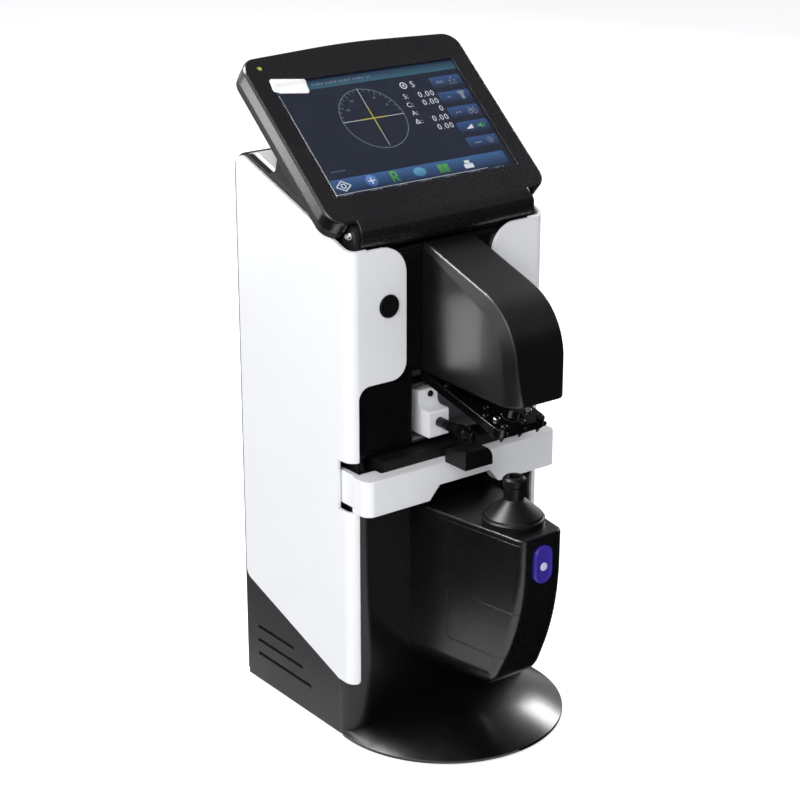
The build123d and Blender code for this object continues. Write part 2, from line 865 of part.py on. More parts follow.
def make_nose_top_cover():
    """Flat cap of the nose that carries the nosepiece."""
    low = nose_top_z - nose_cap
    cap = plan_solid(nose_plan(0, nose_corner), low, nose_top_z)
    top_edges = cap.edges().group_by(Axis.Z)[-1]
    cap = fillet(top_edges.filter_by(lambda e: e.center().Y < front_y - 1), 1.4)
    cap = cap - rod_along_z(window_radius - 1.5, 0, axis_y, low - 1, nose_top_z + 1)
    return cap - rod_along_z(window_radius, 0, axis_y, nose_top_z - 2.0, nose_top_z + 1)


def make_nosepiece():
    """Flared support that the lens is set on, hollow along the measuring axis."""
    z = nose_top_z
    top = z + nosepiece_height
    with BuildSketch(Plane.XZ) as section:
        with BuildLine():
            foot = Polyline((nosepiece_bore + 5.0, z), (nosepiece_radius, z),
                            (nosepiece_radius, z + 4.0), (nosepiece_radius - 1.2, z + 4.8),
                            (nosepiece_radius - 1.6, z + 6.2))
            flare = ThreePointArc(foot @ 1, (nosepiece_radius - 8.5, z + 12.2),
                                  (nosepiece_neck, z + 17.0))
            neck = Polyline(flare @ 1, (nosepiece_neck, top - 7.0), (nosepiece_ring, top - 6.0),
                            (nosepiece_ring, top - 1.4), (nosepiece_ring - 1.4, top),
                            (nosepiece_bore, top), (nosepiece_bore, top - 10.0),
                            (nosepiece_bore + 5.0, z + 6.0), (nosepiece_bore + 5.0, z))
        make_face()
    return Pos(0, axis_y, 0) * revolve(section.sketch, Axis.Z)


def make_nosepiece_window():
    """Glass disc that keeps dust out of the sensor."""
    return rod_along_z(window_radius, 0, axis_y, nose_top_z - 2.0, nose_top_z - 0.1)


def make_sensor_barrel():
    """Tube on the lower arm, under the window."""
    low = low_arm_z + low_arm_height
    high = nose_top_z - nose_cap - 0.3
    tube = rod_along_z(barrel_outer, 0, axis_y, low, high)
    tube = tube - rod_along_z(bore_radius, 0, axis_y, low - 1, high + 1)
    return tube - rod_along_z(lens_seat, 0, axis_y, high - 3.0, high + 1)


def make_aperture_plate():
    """Thin plate with a ring of small holes that splits the light into beams."""
    high = nose_top_z - nose_cap - 0.3
    plate = rod_along_z(lens_seat, 0, axis_y, high - 3.0, high - 2.2)
    for i in range(6):
        angle = math.radians(60 * i)
        x = 3.2 * math.cos(angle)
        y = axis_y + 3.2 * math.sin(angle)
        plate = plate - rod_along_z(0.7, x, y, high - 4, high)
    return plate


def make_sensor_board():
    """Camera board under the lower arm, with its chip in the bore."""
    board = box(-11.0, 11.0, axis_y - 11, axis_y + 24, low_arm_z - 1.6, low_arm_z)
    chip = box(-3.6, 3.6, axis_y - 3.6, axis_y + 3.6, low_arm_z, low_arm_z + 1.5)
    return board + chip


# Reading button

button_back_y = nose_front_y + nose_wall + 4.0


def make_read_button():
    """Long round key in the nose, with a flange that keeps it in."""
    face = nose_front_y - button_proud
    inside = nose_front_y + nose_wall + 1.9
    key = button_shape(0, face, inside + 1.2)
    key = key + button_shape(-1.2, inside, inside + 1.2)
    stem = rod_along_y(2.0, 0, inside + 1.2, button_back_y, button_z)
    dot = rod_along_y(2.9, 0, face - 1, face + 1.5, button_z - 1.5)
    return key + stem - dot


def make_button_lens():
    """Pale light dot set in the button."""
    face = nose_front_y - button_proud
    return rod_along_y(2.9, 0, face, face + 1.5, button_z - 1.5)


def make_button_switch():
    """Switch board behind the button, screwed to the lower arm's tip."""
    tip = axis_y - arm_tip
    plunger_y = button_back_y + button_travel + 0.1
    board = box(-7.0, 7.0, tip - 1.6, tip, low_arm_z + 4, button_z + 6)
    switch = box(-3.0, 3.0, plunger_y, tip - 1.6, button_z - 3, button_z + 3)
    return board + switch


# Lens table and slider

def make_lens_table():
    """White bar across the front, with an arm back into each side."""
    front = table_front_y
    x = half_width - 0.2
    rear = front + table_bar_depth
    end_rear = front + table_end_depth
    plan = [(-x, end_rear), (-x, front, table_corner), (x, front, table_corner), (x, end_rear),
            (x - 19.0, end_rear, 2.0), (x - 19.0, rear, 2.0), (-x + 19.0, rear, 2.0),
            (-x + 19.0, end_rear, 2.0)]
    bar = plan_solid(plan, table_low_z, table_high_z)
    lift = table_low_z + notch_rise
    relief = [(-notch_half, table_low_z - 1), (notch_half, table_low_z - 1), (notch_half, table_low_z),
              (notch_half - 8.5, lift), (-notch_half + 8.5, lift), (-notch_half, table_low_z)]
    bar = bar - front_solid(relief, front - 1, rear + 1)
    arm = box(side_arm_x - side_arm_thickness, side_arm_x, end_rear, side_arm_rear_y,
              table_low_z + 1.0, table_high_z - 1.0)
    for piece in both_sides(arm):
        bar = bar + piece
    return bar


def make_table_carriage():
    """Black cross beam behind the table bar."""
    rear = table_front_y + table_bar_depth
    low = carriage_top_z - carriage_height
    beam = box(-carriage_half, carriage_half, rear, carriage_rear_y, low, carriage_top_z)
    for x in (-rod_x, rod_x):
        beam = beam - rod_along_y(rod_radius, x, rear + 4, carriage_rear_y + 1, rod_z)
    return beam


rod_z = carriage_top_z - carriage_height / 2
bush_radius = 6.0
block_depth = 24.0
block_half = 9.0


def make_table_rods():
    """Two ground rods fixed in the carriage."""
    start = table_front_y + table_bar_depth + 4
    rods = [rod_along_y(rod_radius, x, start, rod_rear_y, rod_z) for x in (-rod_x, rod_x)]
    return group(rods)


def make_rail_blocks():
    """Bearing blocks on the column's sides that the table's rods run in."""
    blocks = []
    inner = frame_outer_x - frame_sheet
    for x in (-rod_x, rod_x):
        x0 = min(x - bush_radius - 2, math.copysign(inner, x))
        x1 = max(x + bush_radius + 2, math.copysign(inner, x))
        y0 = carriage_rear_y + 3
        block = box(x0, x1, y0, y0 + block_depth, rod_z - block_half, rod_z + block_half)
        blocks.append(block - rod_along_y(bush_radius, x, y0 - 1, y0 + block_depth + 1, rod_z))
    return group(blocks)


def make_rail_bushes():
    """Bronze bushes pressed into the bearing blocks."""
    bushes = []
    for x in (-rod_x, rod_x):
        bush = rod_along_y(bush_radius, x, carriage_rear_y + 3, carriage_rear_y + 27, rod_z)
        bushes.append(bush - rod_along_y(rod_radius + pivot_clearance, x, -60, 60, rod_z))
    return group(bushes)


def make_pd_slider():
    """Black bridge rest that slides along the top of the table bar."""
    x0 = slider_x - slider_width / 2
    x1 = slider_x + slider_width / 2
    base = table_high_z + gap
    front = slider_front_y
    rear = table_front_y - gap
    side = [(front, base), (front, slider_top_z, 1.5), (rear, slider_rear_top_z, 1.0), (rear, base)]
    pad = side_solid(side, x0, x1)
    face = [(x0, base - 1), (x1, base - 1), (x1, slider_top_z + 1, slider_round),
            (x0, slider_top_z + 1, 1.5)]
    pad = pad & front_solid(face, front - 1, rear + 1)
    half = slider_tongue / 2
    tongue = box(slider_x - half, slider_x + half, rear - 1, table_front_y + table_bar_depth - gap,
                 base, base + 4.5)
    lip = box(slider_x - half, slider_x + half, rear - 2.2, rear, base - 3.5, base + 2.0)
    return pad + tongue + lip


# Marker arm

arm_plane = Plane(origin=(0, arm_front_y, arm_front_z), x_dir=(1, 0, 0),
                  z_dir=(0, -math.sin(math.radians(arm_tilt)), math.cos(math.radians(arm_tilt))))


def on_arm(solid):
    """Places a solid drawn flat in the arm's own frame."""
    return arm_plane.location * solid


def make_arm_plate():
    """Black arm that swings down over the lens, with its hub at the back."""
    plan = [(-arm_half, arm_length, 3.0), (-arm_half, 0, 6.0), (arm_half, 0, 6.0),
            (arm_half, arm_length, 3.0)]
    plate = on_arm(plan_solid(plan, -arm_thickness, 0))
    inner = arm_half - arm_skin
    pocket = [(-inner, arm_length + 1), (-inner, arm_front_bar + 14, 2.0),
              (inner, arm_front_bar + 14, 2.0), (inner, arm_length + 1)]
    plate = plate - on_arm(plan_solid(pocket, -arm_thickness - 1, -arm_skin))
    plate = plate - on_arm(rod_along_z(beam_radius, 0, beam_back, -arm_thickness - 1, 1))
    y, z = pivot_y, pivot_z
    tail_y = arm_front_y + arm_length * math.cos(math.radians(arm_tilt))
    tail_z = arm_front_z + arm_length * math.sin(math.radians(arm_tilt)) - arm_skin
    web = side_solid([(y + hub_radius, z), (y + hub_radius, tail_z + 1), (tail_y - 8, tail_z - 1),
                      (tail_y - 10, tail_z - 5), (y - hub_radius, z)], -hub_half, hub_half)
    plate = plate + web + rod_along_x(hub_radius, -hub_half, hub_half, y, z)
    plate = plate - rod_along_x(pivot_radius + pivot_clearance, -40, 40, y, z)
    for i in (-1, 0, 1):
        plate = plate - on_arm(rod_along_z(pen_radius + pivot_clearance, i * pen_spacing, pen_back,
                                           -arm_thickness - 1, 1))
    for x in (-pin_x, pin_x):
        plate = plate - on_arm(rod_along_z(pen_radius + pivot_clearance, x, pin_back,
                                           -arm_thickness - 1, 1))
    return plate


arm_screw_places = [(-17.5, 20.0), (-11.0, 28.0), (17.5, 20.0), (10.5, 30.0), (-17.5, 62.0),
                    (17.5, 62.0)]


def make_arm_screws():
    """Bright screws on the arm's front edge and top."""
    head = 1.9
    screws = []
    for i in (-1, 0, 1):
        screws.append(on_arm(rod_along_y(head, i * pen_spacing + 2.2, -1.3, 0, -arm_thickness / 2)))
    for x, back in arm_screw_places:
        screws.append(on_arm(rod_along_z(head, x, back, 0, 1.3)))
    return group(screws)


def make_marking_pens():
    """Three marking pens in a row that give way together."""
    pens = []
    for i in (-1, 0, 1):
        x = i * pen_spacing
        shaft = rod_along_z(pen_radius, x, pen_back, -arm_thickness - 2.6, 1.0)
        cap = rod_along_z(2.3, x, pen_back, 0.1, 2.2)
        tip = Pos(x, pen_back, -arm_thickness - 3.6) * Cone(0.5, pen_radius, 2.0)
        pens.append(on_arm(shaft + cap + tip))
    return group(pens)


def make_holder_pins():
    """Two rubber-tipped pins that press the lens down."""
    pins = []
    under = -arm_thickness - pin_travel - gap
    for x in (-pin_x, pin_x):
        shaft = rod_along_z(pen_radius, x, pin_back, under, 1.0)
        cap = rod_along_z(2.4, x, pin_back, 0.1, 1.9)
        tip = rod_along_z(2.6, x, pin_back, under - 2.1, under)
        pins.append(on_arm(shaft + cap + tip))
    return group(pins)


def make_arm_shaft():
    """Steel shaft across the bay that the arm swings on."""
    x = bay_half + bay_sheet
    return rod_along_x(pivot_radius, -x, x, pivot_y, pivot_z)


# Ink cartridge

def make_ink_bracket():
    """White bracket at the back of the bay, bored for the ink cartridge."""
    back = spine_front_y - bay_sheet
    profile = [(back, bracket_low_z), (bracket_front_y, bracket_low_z, 1.0),
               (bracket_front_y, bracket_shelf_z, 1.5), (bracket_plate_y, bracket_shelf_z, 4.5),
               (bracket_plate_y, bracket_top_z, 1.0), (back, bracket_top_z)]
    bracket = side_solid(profile, bracket_left_x, bracket_right_x)
    return bracket - rod_along_y(ink_radius + pivot_clearance, ink_x, -60, back - 4, ink_z)


def make_ink_cartridge():
    """Black ink rod with a knurled grip, which pulls out forwards."""
    back = spine_front_y - bay_sheet - 5
    rod = rod_along_y(ink_radius, ink_x, ink_front_y, back, ink_z)
    grip = rod_along_y(ink_radius + 1.1, ink_x, ink_front_y + 8, ink_front_y + 17, ink_z)
    neck = rod_along_y(ink_radius + 1, ink_x, ink_front_y + 0.8, ink_front_y + 4, ink_z)
    groove = neck - rod_along_y(ink_radius - 1.2, ink_x, ink_front_y, ink_front_y + 5, ink_z)
    return rod + grip - groove


# Display

display_plane = Plane(origin=(0, display_y, display_z), x_dir=(1, 0, 0),
                      z_dir=(0, -math.sin(math.radians(display_tilt)),
                             math.cos(math.radians(display_tilt))))
glass_depth = 1.0
glass_thickness = 1.1
lcd_thickness = 4.6


def on_display(solid):
    """Places a solid drawn in the display's own frame."""
    return display_plane.location * solid


def display_outline(shrink):
    """The display's outline, with big corners and a gently arched top."""
    x = display_half - shrink
    low = display_low + shrink
    high = display_high - shrink
    corner = display_corner - shrink
    return [(-x, low, corner), (x, low, corner), (x, high, corner),
            (0, high + display_arch, 600.0), (-x, high, corner)]


def ear_room():
    """Slots in the display's shells for the hinge ears, in the display's frame."""
    x = ear_inner - 0.3
    slot = box(x, x + ear_thickness + 3.0, display_low - 20, display_low + 12.5,
               -display_depth - 20, -wall)
    return both_sides(slot)


def make_display_bezel():
    """Front shell of the display, run down into the hinge barrel."""
    shell = plan_solid(display_outline(0), -bezel_depth, 0)
    front = shell.edges().group_by(Axis.Z)[-1]
    shell = fillet(front, 2.0)
    under = -glass_depth - glass_thickness
    shell = shell - plan_solid(display_outline(wall), -bezel_depth - 1, under)
    s = screen_half
    h = screen_height
    shell = shell - box(-s, s, 0, h, -5, 1)
    pocket = 3.0
    shell = shell - box(-s - pocket, s + pocket, -pocket, h + pocket, -5, -glass_depth)
    for piece in ear_room():
        shell = shell - piece
    chin = side_solid([(-8.0, 0), (chin_up - chin_radius, 0, chin_radius - 0.01),
                       (chin_up - chin_radius, -display_depth + 1, 3.0),
                       (display_low + 9, -display_depth + 1), (display_low + 9, under)],
                      -barrel_half, barrel_half)
    shell = shell + chin
    shell = shell - rod_along_x(shaft_radius, -90, 90, barrel_up, barrel_out)
    shell = shell - rod_along_z(1.5, led_x, led_up, -10, 1)
    return on_display(shell)


def make_display_back():
    """Rear shell of the display, with a shallow raised field."""
    shell = plan_solid(display_outline(0.4), -display_depth, -bezel_depth)
    rear = shell.edges().group_by(Axis.Z)[0]
    shell = fillet(rear, 3.0)
    shell = shell - plan_solid(display_outline(wall + 0.4), -display_depth + wall, -bezel_depth + 1)
    clear = box(-barrel_half - 0.3, barrel_half + 0.3, display_low - 5, display_low + 9.3,
                -display_depth - 1, 1)
    shell = shell - clear
    for piece in ear_room():
        shell = shell - piece
    return on_display(shell)


def make_display_glass():
    """Touch glass seated behind the bezel's lip."""
    s = screen_half + 2.8
    low = -glass_depth - glass_thickness
    return on_display(box(-s, s, -2.8, screen_height + 2.8, low, -glass_depth))


def make_lcd_panel():
    """Liquid crystal module behind the glass."""
    s = screen_half + 1.5
    top = -glass_depth - glass_thickness
    return on_display(box(-s, s, -1.5, screen_height + 1.5, top - lcd_thickness, top))


def make_display_board():
    """Driver board on pillars inside the rear shell."""
    floor = -display_depth + wall
    top = -glass_depth - glass_thickness - lcd_thickness
    low = floor + display_board_pillar
    high = low + board_sheet
    board_top = display_board_low + display_board_height
    board = box(-display_board_half, display_board_half, display_board_low, board_top, low, high)
    pillar_x = display_board_half - pillar_inset
    for x in (-pillar_x, pillar_x):
        for up in (display_board_low + pillar_inset, board_top - pillar_inset):
            board = board + rod_along_z(pillar_radius, x, up, floor, low)
            board = board + rod_along_z(pillar_radius, x, up, high, top)
    return on_display(board)


def make_status_led():
    """Small power lamp in the bezel's corner."""
    return on_display(rod_along_z(1.5, led_x, led_up, -4.0, 0.2))


def make_hinge_shaft():
    """Steel shaft through the display's barrel."""
    x = ear_inner + ear_thickness - 0.1
    return on_display(rod_along_x(shaft_radius, -x, x, barrel_up, barrel_out))


hinge_y, hinge_z = hump_back(barrel_up, -barrel_out)
ear_inner = barrel_half + ear_gap


def make_hinge_brackets():
    """Steel ears on the column's sides that carry the hinge shaft."""
    low = frame_top(0) - ear_drop
    front = hinge_y - ear_front
    top = hinge_z + ear_front
    ear = side_solid([(front, low), (hinge_y + ear_rear, low), (hinge_y + ear_front, top, ear_round),
                      (front, top, ear_round)], ear_inner, ear_inner + ear_thickness)
    ear = ear - rod_along_x(shaft_radius + pivot_clearance, 0, half_width, hinge_y, hinge_z)
    return group(both_sides(ear))


def make_body_screws():
    """Screws through the base plate, in the ink bracket and on the hinge ears."""
    screws = []
    for x, y in base_screw_places:
        shank = rod_along_z(screw_radius, x, y, foot_height, frame_floor_z + frame_sheet)
        screws.append(shank + rod_along_z(2 * screw_radius, x, y, foot_height - 1.8, foot_height))
    screws.append(rod_along_y(bracket_screw_radius, bracket_left_x + bracket_screw_inset,
                              bracket_plate_y - bracket_screw_head, bracket_plate_y,
                              bracket_top_z - bracket_screw_drop))
    x = ear_inner + ear_thickness
    collar = rod_along_x(3.8, x, x + 1.0, hinge_y, hinge_z)
    head = rod_along_x(2.9, x + 1.0, x + 1.8, hinge_y, hinge_z)
    return group(screws + both_sides(collar + head))


# Electronics

def make_main_board():
    """Main circuit board on pillars in front of the column's back."""
    y = frame_rear_y - frame_sheet
    seat_y = y - main_board_pillar
    top = main_board_low_z + main_board_height
    board = box(-main_board_half, main_board_half, seat_y - board_sheet, seat_y, main_board_low_z, top)
    pillar_x = main_board_half - pillar_inset
    for x in (-pillar_x, pillar_x):
        for z in (main_board_low_z + pillar_inset, top - pillar_inset):
            board = board + rod_along_y(pillar_radius, x, seat_y, y, z)
    return board


def make_power_supply():
    """Closed power supply on the column's back."""
    y = frame_rear_y - frame_sheet
    return box(-supply_half, supply_half, y - supply_depth, y, supply_low_z,
               supply_low_z + supply_height)


def socket_block(x, half, depth):
    """A socket body in the rear cover's opening, with a flange that seats behind it."""
    body = box(x - half + gap, x + half - gap, rear_y - depth, rear_y,
               inlet_z - socket_half + gap, inlet_z + socket_half - gap)
    lip = box(x - half - 2, x + half + 2, side_rear_y - 2, side_rear_y,
              inlet_z - socket_half - 2, inlet_z + socket_half + 2)
    return body + lip


def make_power_inlet():
    """Three-pin mains inlet in the rear cover."""
    inlet = socket_block(inlet_x, inlet_half, inlet_depth)
    cavity = box(inlet_x - inlet_mouth_half, inlet_x + inlet_mouth_half, rear_y - inlet_mouth_depth,
                 rear_y + 1, inlet_z - inlet_mouth_rise, inlet_z + inlet_mouth_rise)
    inlet = inlet - cavity
    for x, z in ((-7.0, -2.5), (0.0, 2.5), (7.0, -2.5)):
        inlet = inlet + box(inlet_x + x - 1, inlet_x + x + 1, rear_y - 18, rear_y - 7,
                            inlet_z + z - 2, inlet_z + z + 2)
    return inlet


rocker_axis_y = rear_y - 4.5
rocker_pin = 1.2


def make_switch_frame():
    """Frame of the rear power switch."""
    frame = socket_block(switch_x, switch_half, 20.0)
    hole = box(switch_x - 5, switch_x + 5, rear_y - 14, rear_y + 1, inlet_z - 8.5, inlet_z + 8.5)
    frame = frame - hole
    return frame - rod_along_x(rocker_pin + pivot_clearance, switch_x - 6.2, switch_x + 6.2,
                               rocker_axis_y, inlet_z)


def make_power_rocker():
    """Rocker key of the power switch, on its moulded pivot."""
    half = 5 - gap
    outline = [(rear_y - 2.4, inlet_z - 7.6), (rear_y - 1.2, inlet_z), (rear_y - 0.2, inlet_z + 7.4),
               (rear_y - 8.0, inlet_z + 4.5), (rear_y - 8.0, inlet_z - 4.5)]
    rocker = side_solid(outline, switch_x - half, switch_x + half)
    return rocker + rod_along_x(rocker_pin, switch_x - 6.0, switch_x + 6.0, rocker_axis_y, inlet_z)


# Receipt printer

printer_mouth_x = half_width - wall - gap
roll_x = printer_mouth_x - 22.5
roll_z = (printer_low_z + printer_high_z) / 2
door_hinge_x = half_width - wall / 2
door_hinge_z = printer_low_z + 2.4
door_pin_radius = 0.9
door_pin_length = 1.6
door_top_z = printer_high_z - 4.0


def make_printer_frame():
    """Moulded tray in the right side that holds the paper roll."""
    x1 = printer_mouth_x
    x0 = x1 - printer_depth
    s = printer_sheet
    y0 = printer_y - printer_half + gap
    y1 = printer_y + printer_half - gap
    z0 = printer_low_z + gap
    z1 = printer_high_z - gap
    tray = box(x0, x1, y0, y1, z0, z1) - box(x0 + s, x1 + 1, y0 + s, y1 - s, z0 + s, z1 - s)
    for y in (y0 - 6, y1):
        tray = tray + box(x1 - 3, half_width - wall, y, y + 6, z0 + 10, z1 - 10)
    return tray + rod_along_y(spindle_radius - pivot_clearance, roll_x, y0, y1, roll_z)


def make_paper_roll():
    """Roll of receipt paper on its core."""
    roll = rod_along_y(roll_radius, roll_x, printer_y - roll_half, printer_y + roll_half, roll_z)
    return roll - rod_along_y(spindle_radius, roll_x, -200, 200, roll_z)


def make_printer_door():
    """Flap over the paper roll, hinged on pins along its lower edge."""
    y0 = printer_y - printer_half + gap
    y1 = printer_y + printer_half - gap
    round_edge = wall / 2
    door = box(half_width - wall, half_width, y0, y1, door_hinge_z, door_top_z)
    door = door + rod_along_y(round_edge, door_hinge_x, y0, y1, door_hinge_z)
    door = door + rod_along_y(door_pin_radius, door_hinge_x, y0 - door_pin_length,
                              y1 + door_pin_length, door_hinge_z)
    return door


makers = {
    "base_plate": make_base_plate,
    "rubber_feet": make_rubber_feet,
    "body_screws": make_body_screws,
    "foot_disc": make_foot_disc,
    "column_frame": make_column_frame,
    "optical_frame": make_optical_frame,
    "left_side_cover": lambda: make_side_cover(-1),
    "right_side_cover": lambda: make_side_cover(1),
    "cover_plugs": make_cover_plugs,
    "vent_panels": make_vent_panels,
    "lower_front_cover": make_lower_front_cover,
    "upper_front_cover": make_upper_front_cover,
    "bay_liner": make_bay_liner,
    "top_cover": make_top_cover,
    "rear_cover": make_rear_cover,
    "head_cover": make_head_cover,
    "head_base_plate": make_head_base_plate,
    "collimator_barrel": make_collimator_barrel,
    "collimator_lens": make_collimator_lens,
    "led_board": make_led_board,
    "nose_shell": make_nose_shell,
    "nose_service_cover": make_nose_service_cover,
    "nose_top_cover": make_nose_top_cover,
    "nosepiece": make_nosepiece,
    "nosepiece_window": make_nosepiece_window,
    "sensor_barrel": make_sensor_barrel,
    "aperture_plate": make_aperture_plate,
    "sensor_board": make_sensor_board,
    "read_button": make_read_button,
    "button_lens": make_button_lens,
    "button_switch": make_button_switch,
    "lens_table": make_lens_table,
    "table_carriage": make_table_carriage,
    "table_rods": make_table_rods,
    "rail_blocks": make_rail_blocks,
    "rail_bushes": make_rail_bushes,
    "pd_slider": make_pd_slider,
    "arm_plate": make_arm_plate,
    "arm_screws": make_arm_screws,
    "marking_pens": make_marking_pens,
    "holder_pins": make_holder_pins,
    "arm_shaft": make_arm_shaft,
    "ink_bracket": make_ink_bracket,
    "ink_cartridge": make_ink_cartridge,
    "display_bezel": make_display_bezel,
    "display_back": make_display_back,
    "display_glass": make_display_glass,
    "lcd_panel": make_lcd_panel,
    "display_board": make_display_board,
    "status_led": make_status_led,
    "hinge_shaft": make_hinge_shaft,
    "hinge_brackets": make_hinge_brackets,
    "main_board": make_main_board,
    "power_supply": make_power_supply,
    "power_inlet": make_power_inlet,
    "switch_frame": make_switch_frame,
    "power_rocker": make_power_rocker,
    "printer_frame": make_printer_frame,
    "paper_roll": make_paper_roll,
    "printer_door": make_printer_door,
}

os.makedirs("parts", exist_ok=True)
for name, make in makers.items():
    shape = make()
    export_step(shape, "parts/" + name + ".step")
    print(name, len(shape.solids()))
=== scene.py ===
import bpy
import math
from mathutils import Matrix, Vector
from mathutils.bvhtree import BVHTree


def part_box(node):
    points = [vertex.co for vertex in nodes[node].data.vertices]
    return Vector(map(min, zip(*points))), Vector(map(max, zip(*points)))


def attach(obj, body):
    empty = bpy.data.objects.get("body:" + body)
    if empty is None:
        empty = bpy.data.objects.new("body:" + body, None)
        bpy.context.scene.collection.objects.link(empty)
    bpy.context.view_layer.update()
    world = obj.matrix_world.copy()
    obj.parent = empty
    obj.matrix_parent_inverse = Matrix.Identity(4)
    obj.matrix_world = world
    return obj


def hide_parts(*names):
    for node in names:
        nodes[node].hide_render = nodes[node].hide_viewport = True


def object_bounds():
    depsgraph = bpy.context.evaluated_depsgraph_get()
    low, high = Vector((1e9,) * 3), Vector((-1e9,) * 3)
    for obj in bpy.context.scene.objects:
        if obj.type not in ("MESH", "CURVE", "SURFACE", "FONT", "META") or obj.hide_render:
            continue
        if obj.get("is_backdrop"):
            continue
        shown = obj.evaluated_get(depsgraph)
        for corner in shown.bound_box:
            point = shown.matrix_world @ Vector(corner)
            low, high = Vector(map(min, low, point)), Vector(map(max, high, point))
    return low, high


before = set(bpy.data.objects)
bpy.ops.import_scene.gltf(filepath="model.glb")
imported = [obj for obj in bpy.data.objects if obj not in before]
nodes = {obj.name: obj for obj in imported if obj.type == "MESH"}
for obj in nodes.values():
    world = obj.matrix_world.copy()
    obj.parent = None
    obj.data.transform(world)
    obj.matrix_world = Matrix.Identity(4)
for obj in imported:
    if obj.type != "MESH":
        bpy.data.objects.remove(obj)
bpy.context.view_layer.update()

# White side covers
# Two thin shells of injection-moulded white ABS, held by screws into bosses on the steel
# column. Each wraps round to the front in a narrow strip that widens into a wing.

mm = 0.001


def linear(colour):
    """Turns an sRGB hex colour to linear values."""
    parts = [int(colour[i:i + 2], 16) / 255 for i in (1, 3, 5)]
    return [c / 12.92 if c <= 0.04045 else ((c + 0.055) / 1.055) ** 2.4 for c in parts] + [1.0]


def add(tree, kind, sockets=None, **settings):
    """Adds a node, makes its settings, and fills or links its sockets."""
    node = tree.nodes.new("ShaderNode" + kind)
    for name, value in settings.items():
        setattr(node, name, value)
    for socket, value in (sockets or {}).items():
        if isinstance(value, bpy.types.NodeSocket):
            tree.links.new(value, node.inputs[socket])
        else:
            node.inputs[socket].default_value = value
    return node


def close(tree, kind, sockets):
    """Adds a tree's last shader and links it to the output."""
    add(tree, "OutputMaterial", {"Surface": add(tree, kind, sockets).outputs[0]})


def blank(name):
    """A new material with an empty tree, and the node output that says where a point lies."""
    material = bpy.data.materials.new(name)
    material.use_nodes = True
    tree = material.node_tree
    tree.nodes.clear()
    return material, tree, add(tree, "TexCoord").outputs["Object"]


def moulded(name, light, dark, roughness, spread, grain, relief, edge, gloss=0.5):
    """Moulded plastic: two close tones, uneven gloss, fine tool texture and soft edges.

    grain, edge and relief, the depth of the tool texture, are in millimetres."""
    flow_marks = 45 * mm
    plastic_ior = 1.53
    material, tree, where = blank(name)
    cloud = add(tree, "TexNoise", {"Vector": where, "Scale": 1 / flow_marks, "Detail": 3.0})
    fine = add(tree, "TexNoise", {"Vector": where, "Scale": 1 / (grain * mm), "Detail": 2.0})
    tone = add(tree, "Mix", {0: cloud.outputs["Fac"], 6: linear(dark), 7: linear(light)},
               data_type="RGBA")
    both = add(tree, "Math", {0: cloud.outputs["Fac"], 1: fine.outputs["Fac"]}, operation="ADD")
    rough = add(tree, "MapRange", {"Value": both.outputs[0], 1: 0.6, 2: 1.4,
                                   3: roughness - spread, 4: roughness + spread})
    soft = add(tree, "Bevel", {"Radius": edge * mm}, samples=4)
    bump = add(tree, "Bump", {"Height": fine.outputs["Fac"], "Strength": 0.35,
                              "Distance": relief * mm, "Normal": soft.outputs[0]})
    close(tree, "BsdfPrincipled",
          {"Base Color": tone.outputs[2], "Roughness": rough.outputs[0],
           "IOR": plastic_ior, "Specular IOR Level": gloss, "Normal": bump.outputs[0]})
    return material


def dress(material, *names):
    """Gives CAD nodes a material in place of their plain one."""
    for name in names:
        mesh = nodes[name].data
        mesh.materials.clear()
        mesh.materials.append(material)


# ABS, moulded in a polished tool: bright white with a soft gloss and a hint of flow marks
white_abs = moulded("white_abs_polished_tool", "#f4f5f7", "#f1f2f4", 0.32, 0.03, 0.6, 0.015, 0.8)
dress(white_abs, "left_side_cover", "right_side_cover", "printer_door")

# Gloss black covers
# The front covers, the head, the nose and the round foot are moulded black ABS, snapped or
# screwed to the frame. Their rounded edges catch thin highlights.

# Polished tool: they mirror bright surroundings softly
black_abs = moulded("black_abs_polished_tool", "#0a0a0b", "#060607", 0.24, 0.04, 0.7, 0.006, 1.2, 0.35)
dress(black_abs, "upper_front_cover", "lower_front_cover")
# Buffed after moulding: the glossiest of the covers
foot_abs = moulded("black_abs_foot_buffed", "#0b0b0d", "#070708", 0.22, 0.05, 0.7, 0.005, 0.6)
dress(foot_abs, "foot_disc")
# A slightly duller tool for the head and the nose, so what they mirror is blurred, and the
# head's edges are the softest
head_abs = moulded("black_abs_satin_tool", "#0b0b0d", "#070708", 0.32, 0.03, 0.5, 0.004, 1.8, 0.9)
dress(head_abs, "head_cover")
nose_abs = moulded("black_abs_nose_satin", "#0c0c0e", "#08080a", 0.28, 0.04, 0.5, 0.005, 1.0, 0.5)
dress(nose_abs, "nose_shell", "nose_service_cover", "nose_top_cover")

# Dark panels
# The lower side panels, the rear cover, the display's back and the frames of the printer and
# the sockets are dark ABS from an etched tool: matt and even, with a fine spark texture.

# Spark-etched tool: no highlights, only a broad sheen
etched_abs = moulded("dark_abs_etched_tool", "#242426", "#1e1e20", 0.60, 0.06, 0.9, 0.08, 0.6, 0.35)
dress(etched_abs, "vent_panels", "rear_cover", "display_back", "printer_frame", "power_inlet",
      "switch_frame")
# The same tool finish in a deeper black, for the top and what hangs under the head
top_abs = moulded("black_abs_etched_tool", "#111113", "#0c0c0e", 0.50, 0.06, 0.8, 0.05, 0.8, 0.25)
dress(top_abs, "top_cover", "head_base_plate", "table_carriage")
# Mid-grey ABS of the tray that the marker arm swings in
liner_abs = moulded("grey_abs_bay", "#6f7073", "#626366", 0.50, 0.06, 0.8, 0.05, 0.5)
dress(liner_abs, "bay_liner")

